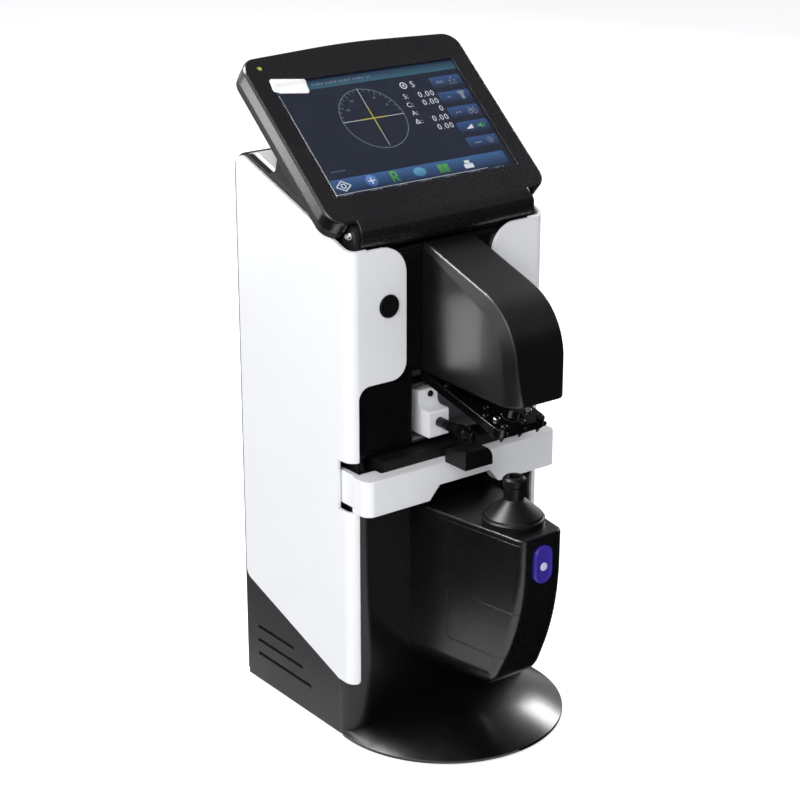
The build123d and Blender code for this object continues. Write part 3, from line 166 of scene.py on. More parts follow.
# Slider, nosepiece and rocker
# Black acetal, turned or milled and left satin. The slider rides on the table's bar, the
# nosepiece is screwed on to the nose, and the rocker snaps into its frame.

satin_acetal = moulded("black_acetal_machined", "#0b0b0d", "#070708", 0.38, 0.05, 0.4, 0.008, 0.8, 0.3)
dress(satin_acetal, "pd_slider", "nosepiece", "power_rocker")

# Top panel
# A white ABS panel set into the sloping black top behind the display. It follows the top
# down from the rear edge and up the hollow in front of it, where the display's hump starts.

side_inset = 5.0 * mm
rear_inset = 0.1 * mm
panel_lift = 0.35 * mm
panel_front = 77.0 * mm
panel_thickness = 0.3 * mm


def put(name, data):
    """A new object in the scene."""
    piece = bpy.data.objects.new(name, data)
    bpy.context.scene.collection.objects.link(piece)
    return piece


def shape(name, points, faces, material, body, smooth=True):
    """A mesh piece of its own that rides on a body."""
    mesh = bpy.data.meshes.new(name)
    mesh.from_pydata([tuple(p) for p in points], [], faces)
    mesh.polygons.foreach_set("use_smooth", [smooth] * len(mesh.polygons))
    mesh.materials.append(material)
    mesh.update()
    piece = put(name, mesh)
    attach(piece, body)
    return piece


def thicken(piece, thickness, offset):
    """Gives a sheet its thickness, outward with offset 1 and inward with -1."""
    solid = piece.modifiers.new("thickness", "SOLIDIFY")
    solid.thickness = thickness
    solid.offset = offset


def net(columns, rows):
    """Faces between points that are laid out row by row."""
    across = columns + 1
    return [(a, a + 1, a + across + 1, a + across)
            for j in range(rows) for a in range(j * across, j * across + columns)]


# Points on the top cover's surface, each lifted by the same height
mesh = nodes["top_cover"].data
tree = BVHTree.FromPolygons([v.co for v in mesh.vertices], [p.vertices for p in mesh.polygons])
low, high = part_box("top_cover")
columns, rows = 40, 60
above = high.z + 0.1
points = []
for j in range(rows + 1):
    y = panel_front + (high.y - rear_inset - panel_front) * j / rows
    for i in range(columns + 1):
        x = low.x + side_inset + (high.x - low.x - 2 * side_inset) * i / columns
        hit = tree.ray_cast(Vector((x, y, above)), Vector((0, 0, -1)))[0]
        points.append(hit + Vector((0, 0, panel_lift)))
panel = shape("top_panel", points, net(columns, rows), white_abs, "body")
thicken(panel, panel_thickness, -1)

# Lens table
# The white bar and its two arms are one ABS moulding. Behind it a black cross beam rides on
# two ground steel rods in bronze bushes. The ink bracket is the same white ABS.

dress(white_abs, "lens_table", "ink_bracket")


def metal(name, light, dark, roughness, spread, grain, relief, stretch=(1, 1, 1)):
    """Bare metal: two close tones, uneven gloss and a fine worked surface.

    grain and relief are in millimetres, and stretch draws the grain out along an axis."""
    broken_edge = 0.3 * mm
    material, tree, where = blank(name)
    drawn = add(tree, "Mapping", {"Vector": where, "Scale": stretch})
    fine = add(tree, "TexNoise", {"Vector": drawn.outputs[0], "Scale": 1 / (grain * mm),
                                  "Detail": 4.0})
    tone = add(tree, "Mix", {0: fine.outputs["Fac"], 6: linear(dark), 7: linear(light)},
               data_type="RGBA")
    rough = add(tree, "MapRange", {"Value": fine.outputs["Fac"], 1: 0.3, 2: 0.7,
                                   3: roughness - spread, 4: roughness + spread})
    soft = add(tree, "Bevel", {"Radius": broken_edge}, samples=4)
    bump = add(tree, "Bump", {"Height": fine.outputs["Fac"], "Strength": 0.3,
                              "Distance": relief * mm, "Normal": soft.outputs[0]})
    close(tree, "BsdfPrincipled",
          {"Base Color": tone.outputs[2], "Roughness": rough.outputs[0],
           "Metallic": 1.0, "Normal": bump.outputs[0]})
    return material


# Carbon steel, centreless ground and polished: near mirror with a faint grind along the rod
ground_steel = metal("steel_ground", "#d2d3d5", "#b9babd", 0.16, 0.05, 0.5, 0.005, (1, 0.05, 1))
dress(ground_steel, "table_rods", "hinge_shaft")
# Sintered bronze: warm, dull and slightly open-grained
bronze = metal("bronze_sintered", "#b58a4e", "#93693a", 0.42, 0.08, 0.35, 0.02)
dress(bronze, "rail_bushes")

# Frame and inner metal parts
# The folded column and base plate carry everything, with the cast optical frame bolted inside.
# The barrels of the light path are pressed into that frame.

# Aluminium alloy, sand-cast and bead-blasted: grey and rough
cast_alloy = metal("aluminium_cast_blasted", "#8d8f92", "#77797c", 0.55, 0.08, 0.9, 0.08)
dress(cast_alloy, "optical_frame", "rail_blocks")
# Mild steel sheet under black powder paint: even, dark, a little orange peel
powder_coat = moulded("steel_sheet_powder_coated", "#1b1c1e", "#151617", 0.45, 0.05, 1.4, 0.05, 0.4)
dress(powder_coat, "column_frame", "base_plate", "hinge_brackets")
# Tinned steel sheet: the power supply's box and the plate with the aperture
tin_plate = metal("steel_tin_plated", "#b7babd", "#a3a6a9", 0.35, 0.08, 3.0, 0.02)
dress(tin_plate, "power_supply", "aperture_plate")
# Black anodised aluminium tubes of the light path
anodised = moulded("aluminium_black_anodised", "#17181a", "#101113", 0.40, 0.05, 0.3, 0.01, 0.4)
dress(anodised, "collimator_barrel", "sensor_barrel")

# Circuit boards
# Five glass-epoxy boards under green solder mask, with the faint relief of copper tracks: the
# main board, and those of the sensor, the lamp, the reading button and the display.

track_pitch = 4 * mm
copper = 0.05 * mm
material, tree, where = blank("glass_epoxy_solder_mask")
cells = add(tree, "TexVoronoi", {"Vector": where, "Scale": 1 / track_pitch}, distance="MANHATTAN")
tracks = add(tree, "MapRange", {"Value": cells.outputs["Distance"], 1: 0.42, 2: 0.5})
tone = add(tree, "Mix", {0: tracks.outputs[0], 6: linear("#0d4428"),
                         7: linear("#1c6a3e")}, data_type="RGBA")
bump = add(tree, "Bump", {"Height": tracks.outputs[0], "Strength": 0.4, "Distance": copper})
close(tree, "BsdfPrincipled",
      {"Base Color": tone.outputs[2], "Roughness": 0.35, "IOR": 1.55,
       "Normal": bump.outputs[0]})
dress(material, "main_board", "sensor_board", "led_board", "button_switch", "display_board")

# Rubber feet
# Four discs of moulded black nitrile rubber, glued under the base plate: matt, a little dusty.
# The marker arm's two pins are tipped with the same rubber.

rubber = moulded("nitrile_rubber", "#1c1c1d", "#131314", 0.78, 0.08, 0.5, 0.05, 0.5, 0.35)
dress(rubber, "rubber_feet")

# Plugs in the wings
# Push-in caps of black polythene over the cover screws: a thin flange with a rounded rim and
# a shallow dished face.


def solids_of(node):
    """The separate solids of a CAD node, each as a list of its points."""
    mesh = nodes[node].data
    key = {}
    leader = []
    index = []
    for v in mesh.vertices:
        place = tuple(round(c * 1e6) for c in v.co)
        if place not in key:
            key[place] = len(leader)
            leader.append(len(leader))
        index.append(key[place])

    def top(i):
        while leader[i] != i:
            leader[i] = leader[leader[i]]
            i = leader[i]
        return i

    for face in mesh.polygons:
        first = top(index[face.vertices[0]])
        for v in face.vertices[1:]:
            leader[top(index[v])] = first
            first = top(first)
    groups = {}
    for v in mesh.vertices:
        groups.setdefault(top(index[v.index]), []).append(v.co.copy())
    return sorted(groups.values(), key=lambda g: tuple(round(c, 4) for c in sum(g, Vector()) / len(g)))


def seat(points, axis):
    """Where a solid sits along an axis: a matrix at its low end, and its length."""
    axis = Vector(axis).normalized()
    side = axis.orthogonal().normalized()
    other = axis.cross(side)
    middle = Vector()
    for direction in (side, other):
        reach = [p.dot(direction) for p in points]
        middle += direction * (min(reach) + max(reach)) / 2
    along = [p.dot(axis) for p in points]
    turn = Matrix((side, other, axis)).transposed().to_4x4()
    return Matrix.Translation(middle + axis * min(along)) @ turn, max(along) - min(along)


def seats_of(node, axis):
    """The seats of a node's equal solids, and their length in millimetres."""
    seats = [seat(solid, axis) for solid in solids_of(node)]
    return [place for place, length in seats], seats[-1][1] / mm


def ring(radius, form, segments):
    """Radii round one turn: a plain circle, a hexagon, or a knurl's ridges."""
    radii = []
    for i in range(segments):
        angle = 2 * math.pi * i / segments
        if form == "hex":
            radii.append(radius * math.cos(math.pi / 6)
                         / math.cos((angle + math.pi / 6) % (math.pi / 3) - math.pi / 6))
        elif form == "knurl":
            radii.append(radius * (1 - 0.07 * (i % 2)))
        else:
            radii.append(radius)
    return radii


def walls(rings, around, start=0, flipped=False):
    """Faces between rings of points that follow each other from a start index."""
    faces = []
    for k in range(rings - 1):
        a = start + k * around
        for i in range(around):
            j = (i + 1) % around
            low, high = (a + i, a + j), (a + around + j, a + around + i)
            faces.append((low[0], high[1], high[0], low[1]) if flipped else low + high)
    return faces


def turned(name, profile, places, material, body, segments):
    """Pieces turned about their own Z from (radius, height[, form]) in millimetres."""
    sharpest = math.radians(32)
    points, faces = [], []
    for place in places:
        start = len(points)
        for entry in profile:
            form = entry[2] if len(entry) > 2 else "round"
            for i, r in enumerate(ring(entry[0], form, segments)):
                angle = 2 * math.pi * i / segments
                spot = Vector((r * math.cos(angle), r * math.sin(angle), entry[1])) * mm
                points.append(place @ spot)
        faces += walls(len(profile), segments, start)
        last = start + (len(profile) - 1) * segments
        faces.append(tuple(start + i for i in reversed(range(segments))))
        faces.append(tuple(last + i for i in range(segments)))
    piece = shape(name, points, faces, material, body)
    piece.data.set_sharp_from_angle(angle=sharpest)
    return piece


# Black polythene: waxy, a little duller than the covers
plug_black = moulded("polythene_black", "#0c0c0e", "#080809", 0.36, 0.05, 0.5, 0.02, 0.3, 0.3)
plug_rise = 1.2
plug_profile = [(7.7, 0.0), (8.0, 0.15), (8.0, 0.6), (7.8, 0.95), (7.2, 1.18), (6.4, plug_rise),
                (5.6, 1.05), (3.0, 0.92), (0.01, 0.9)]
plug_seats = []
for solid in solids_of("cover_plugs"):
    place, length = seat(solid, (0, -1, 0))
    plug_seats.append(place @ Matrix.Translation((0, 0, length - plug_rise * mm)))
plug_caps = turned("cover_plug_caps", plug_profile, plug_seats, plug_black, "body", 64)
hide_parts("cover_plugs")

# Screws
# Button-head machine screws with a hexagon socket. Those at the ends of the display's shaft
# and through the base plate are nickel-plated, those in the arm and the ink bracket blackened.

# Nickel plate over steel, tumbled: bright, warm grey
nickel = metal("steel_nickel_plated", "#e2e3e4", "#c6c7c9", 0.20, 0.06, 0.4, 0.01)
# Black oxide over steel, oiled: nearly black, with a soft metal gleam
blackened = metal("steel_blackened", "#3a3b3e", "#242527", 0.26, 0.06, 0.4, 0.01)
dress(blackened, "arm_shaft")


def screw_profile(radius, height, socket):
    """Outline of a button head with its socket, from the seat up."""
    return [(radius, 0.0), (radius, 0.3 * height), (0.93 * radius, 0.62 * height),
            (0.75 * radius, 0.87 * height), (0.55 * radius, 0.98 * height),
            (socket + 0.12, height), (socket, height - 0.1, "hex"),
            (socket, 0.45 * height, "hex"), (0.01, 0.4 * height)]


arm_tilt = math.radians(13.0)
# The screws of one node are told apart by their length along the arm's height, and those of
# the body by how high they sit
short_head = 2 * mm
shaft_level = 300 * mm
bracket_level = 100 * mm
plate_shank = 4.5
arm_screw = screw_profile(1.9, 1.3, 0.8)
arm_up = (0, -math.sin(arm_tilt), math.cos(arm_tilt))
arm_forward = (0, -math.cos(arm_tilt), -math.sin(arm_tilt))
top_screws, edge_screws = [], []
for solid in solids_of("arm_screws"):
    place, length = seat(solid, arm_up)
    if length < short_head:
        top_screws.append(place)
    else:
        edge_screws.append(seat(solid, arm_forward)[0])
for name, seats in (("arm_top_screws", top_screws), ("arm_edge_screws", edge_screws)):
    heads = turned(name, arm_screw, seats, blackened, "marker_arm", 24)
    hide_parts("arm_screws")

shaft_heads, plate_heads, bracket_heads = [], [], []
for solid in solids_of("body_screws"):
    centre = sum(solid, Vector()) / len(solid)
    if centre.z > shaft_level:
        shaft_heads.append(seat(solid, (math.copysign(1, centre.x), 0, 0))[0])
    elif centre.z > bracket_level:
        bracket_heads.append(seat(solid, (0, -1, 0))[0])
    else:
        plate_heads.append(seat(solid, (0, 0, -1))[0])
plate_profile = [(1.5, 0.0), (1.5, plate_shank)]
plate_profile += [(r, h + plate_shank, *form) for r, h, *form in screw_profile(3.0, 1.8, 1.4)]
for name, profile, seats, finish, segments in (
        ("shaft_screws", screw_profile(3.8, 1.8, 1.6), shaft_heads, nickel, 36),
        ("bracket_screw", screw_profile(2.2, 1.8, 1.0), bracket_heads, blackened, 36),
        ("plate_screws", plate_profile, plate_heads, nickel, 24)):
    heads = turned(name, profile, seats, finish, "body", segments)
    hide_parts("body_screws")

# Marker arm
# A die-cast arm under black enamel, hung on a shaft across the bay. Three marking pens and two
# rubber-tipped pins slide in its front bar.

# Enamel over zinc alloy: deep black, glossy, with softened edges that show as a bright line
arm_enamel = moulded("black_enamel_on_zinc", "#09090b", "#060608", 0.16, 0.03, 0.6, 0.004, 0.7, 0.5)
dress(arm_enamel, "arm_plate")

# Nylon rod, turned: deep black with a soft sheen
pen_black = moulded("black_nylon_turned", "#0b0b0d", "#070709", 0.26, 0.05, 0.3, 0.01, 0.3, 0.35)
# Bonded felt soaked with ink: fibrous, quite matt
felt = moulded("wool_felt_inked", "#2b2b34", "#1b1b22", 0.9, 0.05, 0.25, 0.10, 0.2, 0.2)
pen_seats, pen_length = seats_of("marking_pens", arm_up)
pens = turned("marking_pen_bodies",
              [(1.1, 1.8), (1.45, 2.0), (1.5, pen_length - 2.1), (2.1, pen_length - 2.1),
               (2.3, pen_length - 1.9), (2.3, pen_length - 1.7, "knurl"),
               (2.3, pen_length - 0.5, "knurl"), (2.1, pen_length - 0.3), (1.7, pen_length),
               (0.9, pen_length), (0.8, pen_length - 0.5), (0.01, pen_length - 0.5)],
              pen_seats, pen_black, "pens", 32)
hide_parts("marking_pens")
nibs = turned("marking_pen_nibs", [(0.45, 0.0), (0.6, 0.1), (0.95, 1.2), (1.05, 2.4)], pen_seats, felt,
              "pens", 20)
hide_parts("marking_pens")

pin_seats, pin_length = seats_of("holder_pins", arm_up)
pin_rods = turned("holder_pin_rods",
                  [(1.2, 1.6), (1.5, 1.7), (1.5, pin_length - 1.8), (2.2, pin_length - 1.8),
                   (2.4, pin_length - 1.6), (2.4, pin_length - 0.4), (2.0, pin_length),
                   (0.01, pin_length)],
                  pin_seats, ground_steel, "pins", 28)
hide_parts("holder_pins")
pin_tips = turned("holder_pin_tips",
                  [(0.01, 0.0), (1.6, 0.05), (2.3, 0.35), (2.6, 0.9), (2.6, 1.6), (2.2, 2.1),
                   (1.4, 2.1)], pin_seats, rubber, "pins", 28)
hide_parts("holder_pins")

# Ink cartridge
# A turned black nylon rod with a knurled grip, a groove and a rounded collar at its open front
# end. It is pushed into the white bracket and held there by friction.

cartridge_seats, tip = seats_of("ink_cartridge", (0, -1, 0))
cartridge = turned("ink_cartridge_rod",
                   [(3.3, 0.0), (3.5, 0.2), (3.5, tip - 17.3), (4.3, tip - 17.0), (4.6, tip - 16.6),
                    (4.6, tip - 16.4, "knurl"), (4.6, tip - 8.6, "knurl"), (4.6, tip - 8.4),
                    (4.3, tip - 8.0), (3.5, tip - 7.8), (3.5, tip - 4.2), (2.4, tip - 4.0),
                    (2.4, tip - 1.0), (3.5, tip - 0.8), (3.4, tip - 0.1), (3.2, tip),
                    (2.0, tip), (1.8, tip - 0.2), (1.7, tip - 3.0), (0.01, tip - 3.0)],
                   cartridge_seats, pen_black, "ink_cartridge", 56)
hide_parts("ink_cartridge")

# Reading button
# A long round key of violet ABS with a rounded rim and a shallow dish, and a pale polycarbonate
# light dot set in the dish.

# Violet ABS from a polished tool: bright, evenly glossy
violet_abs = moulded("violet_abs_polished", "#3a2b9c", "#30248a", 0.24, 0.04, 0.6, 0.02, 0.3)
# Frosted polycarbonate, near white with a violet cast
pale_lens = moulded("polycarbonate_frosted", "#d9d3ea", "#cbc3e0", 0.35, 0.05, 0.4, 0.02, 0.2)
key_low, key_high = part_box("read_button")
key_middle = (key_low + key_high) / 2
key_half_width = 7.6
key_half_height = 13.6
key_sharpest = math.radians(40)
key_steps = [(-1.2, 6.6), (-1.2, 4.9), (0.0, 4.9), (0.0, 0.9), (0.12, 0.45), (0.42, 0.12), (0.9, 0.0),
             (1.4, 0.08), (2.0, 0.35), (3.2, 0.5), (5.0, 0.6), (6.8, 0.62)]


def key_ring(shrink, depth, segments=24):
    """One ring round the key's long round outline."""
    half = key_half_width * mm - shrink * mm
    straight = (key_half_height - key_half_width) * mm
    points = []
    for end in (1, -1):
        for i in range(segments + 1):
            angle = math.pi * i / segments
            points.append(Vector((end * half * math.cos(angle), key_low.y + depth * mm,
                                  key_middle.z + end * (straight + half * math.sin(angle)))))
    return points


key_points = []
for shrink, depth in key_steps:
    key_points += key_ring(shrink, depth)
around = len(key_ring(0, 0))
key_faces = walls(len(key_steps), around, flipped=True)
key_faces.append(tuple((len(key_steps) - 1) * around + i for i in range(around)))
key_faces.append(tuple(reversed(range(around))))
key = shape("read_button_key", key_points, key_faces, violet_abs, "read_button")
key.data.set_sharp_from_angle(angle=key_sharpest)
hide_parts("read_button")
dot_seats = seats_of("button_lens", (0, -1, 0))[0]
dot = turned("read_button_dot", [(2.9, 0.0), (2.9, 1.15), (2.7, 1.32), (2.2, 1.42), (1.2, 1.48),
                                 (0.01, 1.5)], dot_seats, pale_lens, "read_button", 40)
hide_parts("button_lens")

# Light path glass
# Crown glass, ground and polished: the collimator's lens, held in its barrel, and the flat
# window that closes the nosepiece.


def clear_glass(name, tint, roughness):
    """Polished clear glass with a faint tint and the odd speck of dust."""
    dust_size = 2 * mm
    glass_ior = 1.5
    material, tree, where = blank(name)
    dust = add(tree, "TexNoise", {"Vector": where, "Scale": 1 / dust_size, "Detail": 5.0})
    rough = add(tree, "MapRange", {"Value": dust.outputs["Fac"], 1: 0.5, 2: 0.8,
                                   3: roughness, 4: roughness + 0.04})
    tone = add(tree, "Mix", {0: dust.outputs["Fac"], 6: linear(tint), 7: linear("#ffffff")},
               data_type="RGBA")
    close(tree, "BsdfPrincipled",
          {"Base Color": tone.outputs[2], "Roughness": rough.outputs[0], "IOR": glass_ior,
           "Transmission Weight": 1.0})
    return material


# Crown glass, polished: clear, with a faint cold cast
optical_glass = clear_glass("crown_glass_polished", "#e6eff2", 0.01)
dress(optical_glass, "collimator_lens", "nosepiece_window")

# Display shells
# The bezel runs down into a round chin that turns on the shaft. It is moulded black ABS,
# snapped on to the back, and its silky finish mirrors the room in its broad rounded rim.

# A hair paler than the front covers, so that its rim reads apart from the screen
bezel_abs = moulded("black_abs_display_silk", "#151517", "#101012", 0.27, 0.03, 1.2, 0.002, 1.4, 0.7)
dress(bezel_abs, "display_bezel")

# Screen
# A backlit liquid crystal module under touch glass. Its picture is generic: a measuring circle,
# rows of plain numbers, and blue bars with simple symbols.

display_tilt = math.radians(40.2)
screen_frame = (Matrix.Translation((0, 6.07 * mm, 388.67 * mm))
                @ Matrix.Rotation(display_tilt, 4, "X"))
screen_half = 76.4
screen_height = 96.5
panel_out = -2.1
layer_step = 0.02
# A wave texture of scale 1 repeats about three times in a metre
waves = 3.14


def backlit(name, low, strength, high=None, start=0.0, rise=screen_height, pitch=None):
    """A lit patch of the screen, from its low tone at start to its high one after rise.

    start, rise and pitch are in millimetres up the glass, and pitch repeats the fall of tone."""
    material, tree, where = blank(name)
    upward = screen_frame.to_3x3() @ Vector((0, 1, 0))
    foot = screen_frame.translation.dot(upward) + start * mm
    height = add(tree, "VectorMath", {0: where, 1: upward}, operation="DOT_PRODUCT")
    above = add(tree, "Math", {0: height.outputs["Value"], 1: foot}, operation="SUBTRACT")
    if pitch:
        above = add(tree, "Math", {0: above.outputs[0], 1: pitch * mm}, operation="FLOORED_MODULO")
    share = add(tree, "MapRange", {"Value": above.outputs[0], 2: rise * mm})
    # Pixel rows are 0.2 mm apart, too fine to show, so the lines are drawn 2 mm apart
    rows = add(tree, "TexWave", {"Vector": where, "Scale": 1 / (2.0 * mm) / waves},
               bands_direction="X")
    tone = add(tree, "Mix", {0: share.outputs[0], 6: linear(low), 7: linear(high or low)},
               data_type="RGBA")
    lines = add(tree, "Mix", {0: rows.outputs["Fac"], 6: (0.9, 0.9, 0.9, 1),
                              7: (1, 1, 1, 1)}, data_type="RGBA")
    lit = add(tree, "Mix", {0: 1.0, 6: tone.outputs[2], 7: lines.outputs[2]},
              data_type="RGBA", blend_type="MULTIPLY")
    close(tree, "BsdfPrincipled",
          {"Base Color": (0.01, 0.01, 0.012, 1), "Roughness": 0.3,
           "Specular IOR Level": 0.1, "Emission Color": lit.outputs[2],
           "Emission Strength": strength})
    return material


def on_screen(x, up, out):
    """A point from millimetres across, up and out of the screen."""
    return screen_frame @ (Vector((x, up, out)) * mm)


class Figures:
    """Collects flat figures of one colour, so that they are one piece."""

    def __init__(self):
        self.points = []
        self.faces = []

    def polygon(self, corners):
        """One flat face with these corners."""
        start = len(self.points)
        self.points += corners
        self.faces.append(tuple(range(start, start + len(corners))))

    def bar(self, x0, up0, x1, up1, width):
        """A straight stroke between two points."""
        direction = Vector((x1 - x0, up1 - up0)).normalized() * width / 2
        side = Vector((-direction.y, direction.x))
        self.polygon([(x0 - side.x, up0 - side.y), (x1 - side.x, up1 - side.y),
                      (x1 + side.x, up1 + side.y), (x0 + side.x, up0 + side.y)])

    def arc(self, x, up, radius, width, start=0.0, end=360.0, steps=72):
        """A round stroke about a point, between two angles in degrees."""
        for i in range(steps):
            a0 = math.radians(start + (end - start) * i / steps)
            a1 = math.radians(start + (end - start) * (i + 1) / steps)
            inner, outer = radius - width / 2, radius + width / 2
            self.polygon([(x + inner * math.cos(a0), up + inner * math.sin(a0)),
                          (x + outer * math.cos(a0), up + outer * math.sin(a0)),
                          (x + outer * math.cos(a1), up + outer * math.sin(a1)),
                          (x + inner * math.cos(a1), up + inner * math.sin(a1))])

    def disc(self, x, up, radius, squash=1.0, steps=36):
        """A filled circle, or an oval where it is squashed."""
        self.polygon([(x + radius * math.cos(2 * math.pi * i / steps),
                       up + radius * squash * math.sin(2 * math.pi * i / steps))
                      for i in range(steps)])

    def patch(self, x0, x1, up0, up1, corner=0.0):
        """A filled rectangle, with round corners where a radius is given."""
        if corner == 0:
            self.polygon([(x0, up0), (x1, up0), (x1, up1), (x0, up1)])
            return
        corners = []
        for cx, cy, first in ((x1 - corner, up1 - corner, 0), (x0 + corner, up1 - corner, 90),
                              (x0 + corner, up0 + corner, 180), (x1 - corner, up0 + corner, 270)):
            for i in range(7):
                angle = math.radians(first + 15 * i)
                corners.append((cx + corner * math.cos(angle), cy + corner * math.sin(angle)))
        self.polygon(corners)

    def words(self, text, x, up, height, align="RIGHT", spacing=1.0):
        """Plain upright figures or single letters on a line; height is that of a numeral."""
        curve = bpy.data.curves.new("figures", "FONT")
        curve.body = text
        curve.align_x = align
        curve.size = height / 0.69
        curve.space_character = spacing
        writing = bpy.data.objects.new("figures", curve)
        mesh = bpy.data.meshes.new_from_object(writing)
        start = len(self.points)
        self.points += [(x + v.co.x, up + v.co.y) for v in mesh.vertices]
        self.faces += [tuple(start + i for i in face.vertices) for face in mesh.polygons]
        bpy.data.meshes.remove(mesh)
        bpy.data.objects.remove(writing)
        bpy.data.curves.remove(curve)

    def make(self, name, material, layer):
        """Lays the figures out as one piece, in a thin layer above the panel."""
        points = [on_screen(x, up, panel_out + layer_step * layer) for x, up in self.points]
        shape(name, points, self.faces, material, "display", False)


# The panel's own surface: dark navy, lit through, a little paler where its cloudy tone lifts
material, tree, where = blank("liquid_crystal_navy")
foot_level, head_level = 0.388, 0.450
height = add(tree, "SeparateXYZ", {0: where})
share = add(tree, "MapRange", {"Value": height.outputs[2], 1: foot_level, 2: head_level})
cloud = add(tree, "TexNoise", {"Vector": where, "Scale": 1 / (40 * mm), "Detail": 2.0})
ramp = add(tree, "ValToRGB", {0: share.outputs[0]})
stops = ramp.color_ramp.elements
stops[0].color = linear("#10182a")
stops[1].color = linear("#141b2c")
middle = stops.new(0.5)
middle.color = linear("#171c2b")
tone = add(tree, "Mix", {0: cloud.outputs["Fac"], 6: ramp.outputs[0],
                         7: linear("#1b2133")}, data_type="RGBA")
close(tree, "BsdfPrincipled",
      {"Base Color": (0.008, 0.01, 0.014, 1), "Roughness": 0.3,
       "Specular IOR Level": 0.1, "Emission Color": tone.outputs[2], "Emission Strength": 0.9})
dress(material, "lcd_panel")

# Lit tones of the picture. White, grey and yellow are even, and the others shade up the glass
white_lit = backlit("screen_white", "#d9dde4", 1.1)
grey_lit = backlit("screen_grey", "#8d97a6", 0.9)
yellow_lit = backlit("screen_yellow", "#b9b04a", 1.0)
blue_lit = backlit("screen_blue", "#34569a", 1.0, "#6a97d6", 4.3, 9.2)
band_lit = backlit("screen_band", "#16294c", 1.0, "#3d6496", 3.4, 11.0)
teal_lit = backlit("screen_teal", "#376478", 1.0, "#1a2c46", 88.6, 7.6)
button_lit = backlit("screen_button", "#18243a", 1.0, "#33558a", 19.9, 9.4, 13.6)
green_lit = backlit("screen_green", "#2f7a34", 1.0, "#5cab52", 4.6, 8.0)
cyan_lit = backlit("screen_cyan", "#2f6c94", 1.0, "#6fb0cf", 5.0, 8.0)

# The measuring circle's middle and radius, in millimetres across and up the glass
circle_x, circle_up, circle_radius = -13.6, 57.8, 25.4

bands = Figures()
bands.patch(-75.2, 72.0, 3.4, 14.4, 1.2)
bands.make("screen_foot_bar", band_lit, 1)
head = Figures()
head.patch(-75.2, 76.2, 88.6, 96.2)
head.make("screen_head_bar", teal_lit, 1)
buttons = Figures()
for up in [24.6 + 13.6 * i for i in range(5)]:
    buttons.patch(48.0, 74.5, up - 4.7, up + 4.7, 1.4)
buttons.make("screen_side_buttons", button_lit, 1)

lines = Figures()
lines.arc(circle_x, circle_up, circle_radius, 0.42)
for i in range(19):
    angle = math.radians(10 * i)
    inner = 23.0 if i % 3 else 21.6
    lines.bar(circle_x + inner * math.cos(angle), circle_up + inner * math.sin(angle),
              circle_x + 25.0 * math.cos(angle), circle_up + 25.0 * math.sin(angle), 0.35)
lines.bar(-75.0, 2.6, -75.0, 87.5, 0.35)
lines.make("screen_circle", grey_lit, 1)
dial = Figures()
for i, text in ((1, "30"), (2, "60"), (4, "120"), (5, "150")):
    angle = math.radians(30 * i)
    dial.words(text, circle_x + 19.0 * math.cos(angle), circle_up + 19.0 * math.sin(angle) - 0.8,
               1.6, "CENTER")
dial.make("screen_dial_numbers", grey_lit, 1)
cross = Figures()
cross.bar(circle_x - 25.5, circle_up, circle_x + 25.5, circle_up, 0.38)
cross.bar(circle_x, circle_up - 23.5, circle_x, circle_up + 26.0, 0.38)
cross.bar(-75.0, 2.5, 52.0, 2.5, 0.3)
cross.make("screen_cross_hairs", white_lit, 2)
core = Figures()
core.bar(circle_x - 11.0, circle_up, circle_x + 11.0, circle_up, 0.95)
core.bar(circle_x, circle_up - 10.5, circle_x, circle_up + 10.5, 0.95)
core.make("screen_cross_core", yellow_lit, 3)

figures = Figures()
figures.arc(24.6, 80.6, 2.5, 0.8, steps=28)
figures.disc(24.6, 80.6, 0.9, steps=16)
figures.words("S", 32.3, 78.2, 5.0, "CENTER")
value_right = 45.6
for label, up in (("S:", 69.4), ("C:", 62.0), ("A:", 54.8)):
    figures.words(label, 23.2, up, 3.9)
for a, b in (((17.2, 47.8), (20.8, 47.8)), ((20.8, 47.6), (19.0, 51.4)), ((19.0, 51.4), (17.2, 47.6))):
    figures.bar(*a, *b, 0.7)
figures.words(":", 23.2, 47.4, 3.9)
for text, up in (("0.00", 68.8), ("0.00", 61.8), ("0", 55.0), ("0.00", 47.4), ("0.00", 39.8)):
    figures.words(text, value_right, up, 4.5, "RIGHT", 1.25)
figures.make("screen_figures", white_lit, 1)

# Small marks of the head bar, the side buttons and the foot bar
marks = Figures()
for i in range(26):
    x = -46.0 + 1.9 * i
    if i % 6 != 5:
        marks.bar(x, 91.2 + 0.6 * (i % 2), x + 0.2 + 0.5 * (i % 3), 93.2, 0.5)
        marks.bar(x, 92.2, x + 1.2, 92.2 - 0.4 * (i % 2), 0.4)
for i in range(7):
    marks.bar(-69.5 + 1.7 * i, 20.4, -68.6 + 1.7 * i, 20.9, 0.6)
for x in (53.5, 55.6, 57.7):
    marks.arc(x, 79.0, 0.8, 0.45, steps=10)
for x, up in ((66.6, 81.4), (64.6, 79.0), (68.6, 79.0)):
    marks.disc(x, up, 0.75, steps=12)
for i in range(4):
    marks.bar(63.6 + 1.7 * i, 75.9, 64.4 + 1.7 * i, 77.1, 0.45)
marks.bar(54.5, 65.4, 57.6, 65.4, 0.8)
marks.patch(64.6, 70.4, 67.0, 69.2, 0.5)
marks.patch(66.2, 69.0, 62.0, 67.2, 0.5)
marks.disc(54.6, 51.4, 0.8, steps=12)
marks.disc(57.2, 51.4, 0.8, steps=12)
marks.bar(65.0, 54.0, 67.6, 51.8, 0.7)
marks.bar(70.4, 54.0, 67.6, 51.8, 0.7)
marks.arc(66.0, 50.4, 1.5, 0.6, steps=14)
marks.arc(70.0, 50.0, 1.5, 0.6, steps=14)
marks.bar(54.0, 24.2, 60.0, 24.2, 0.8)
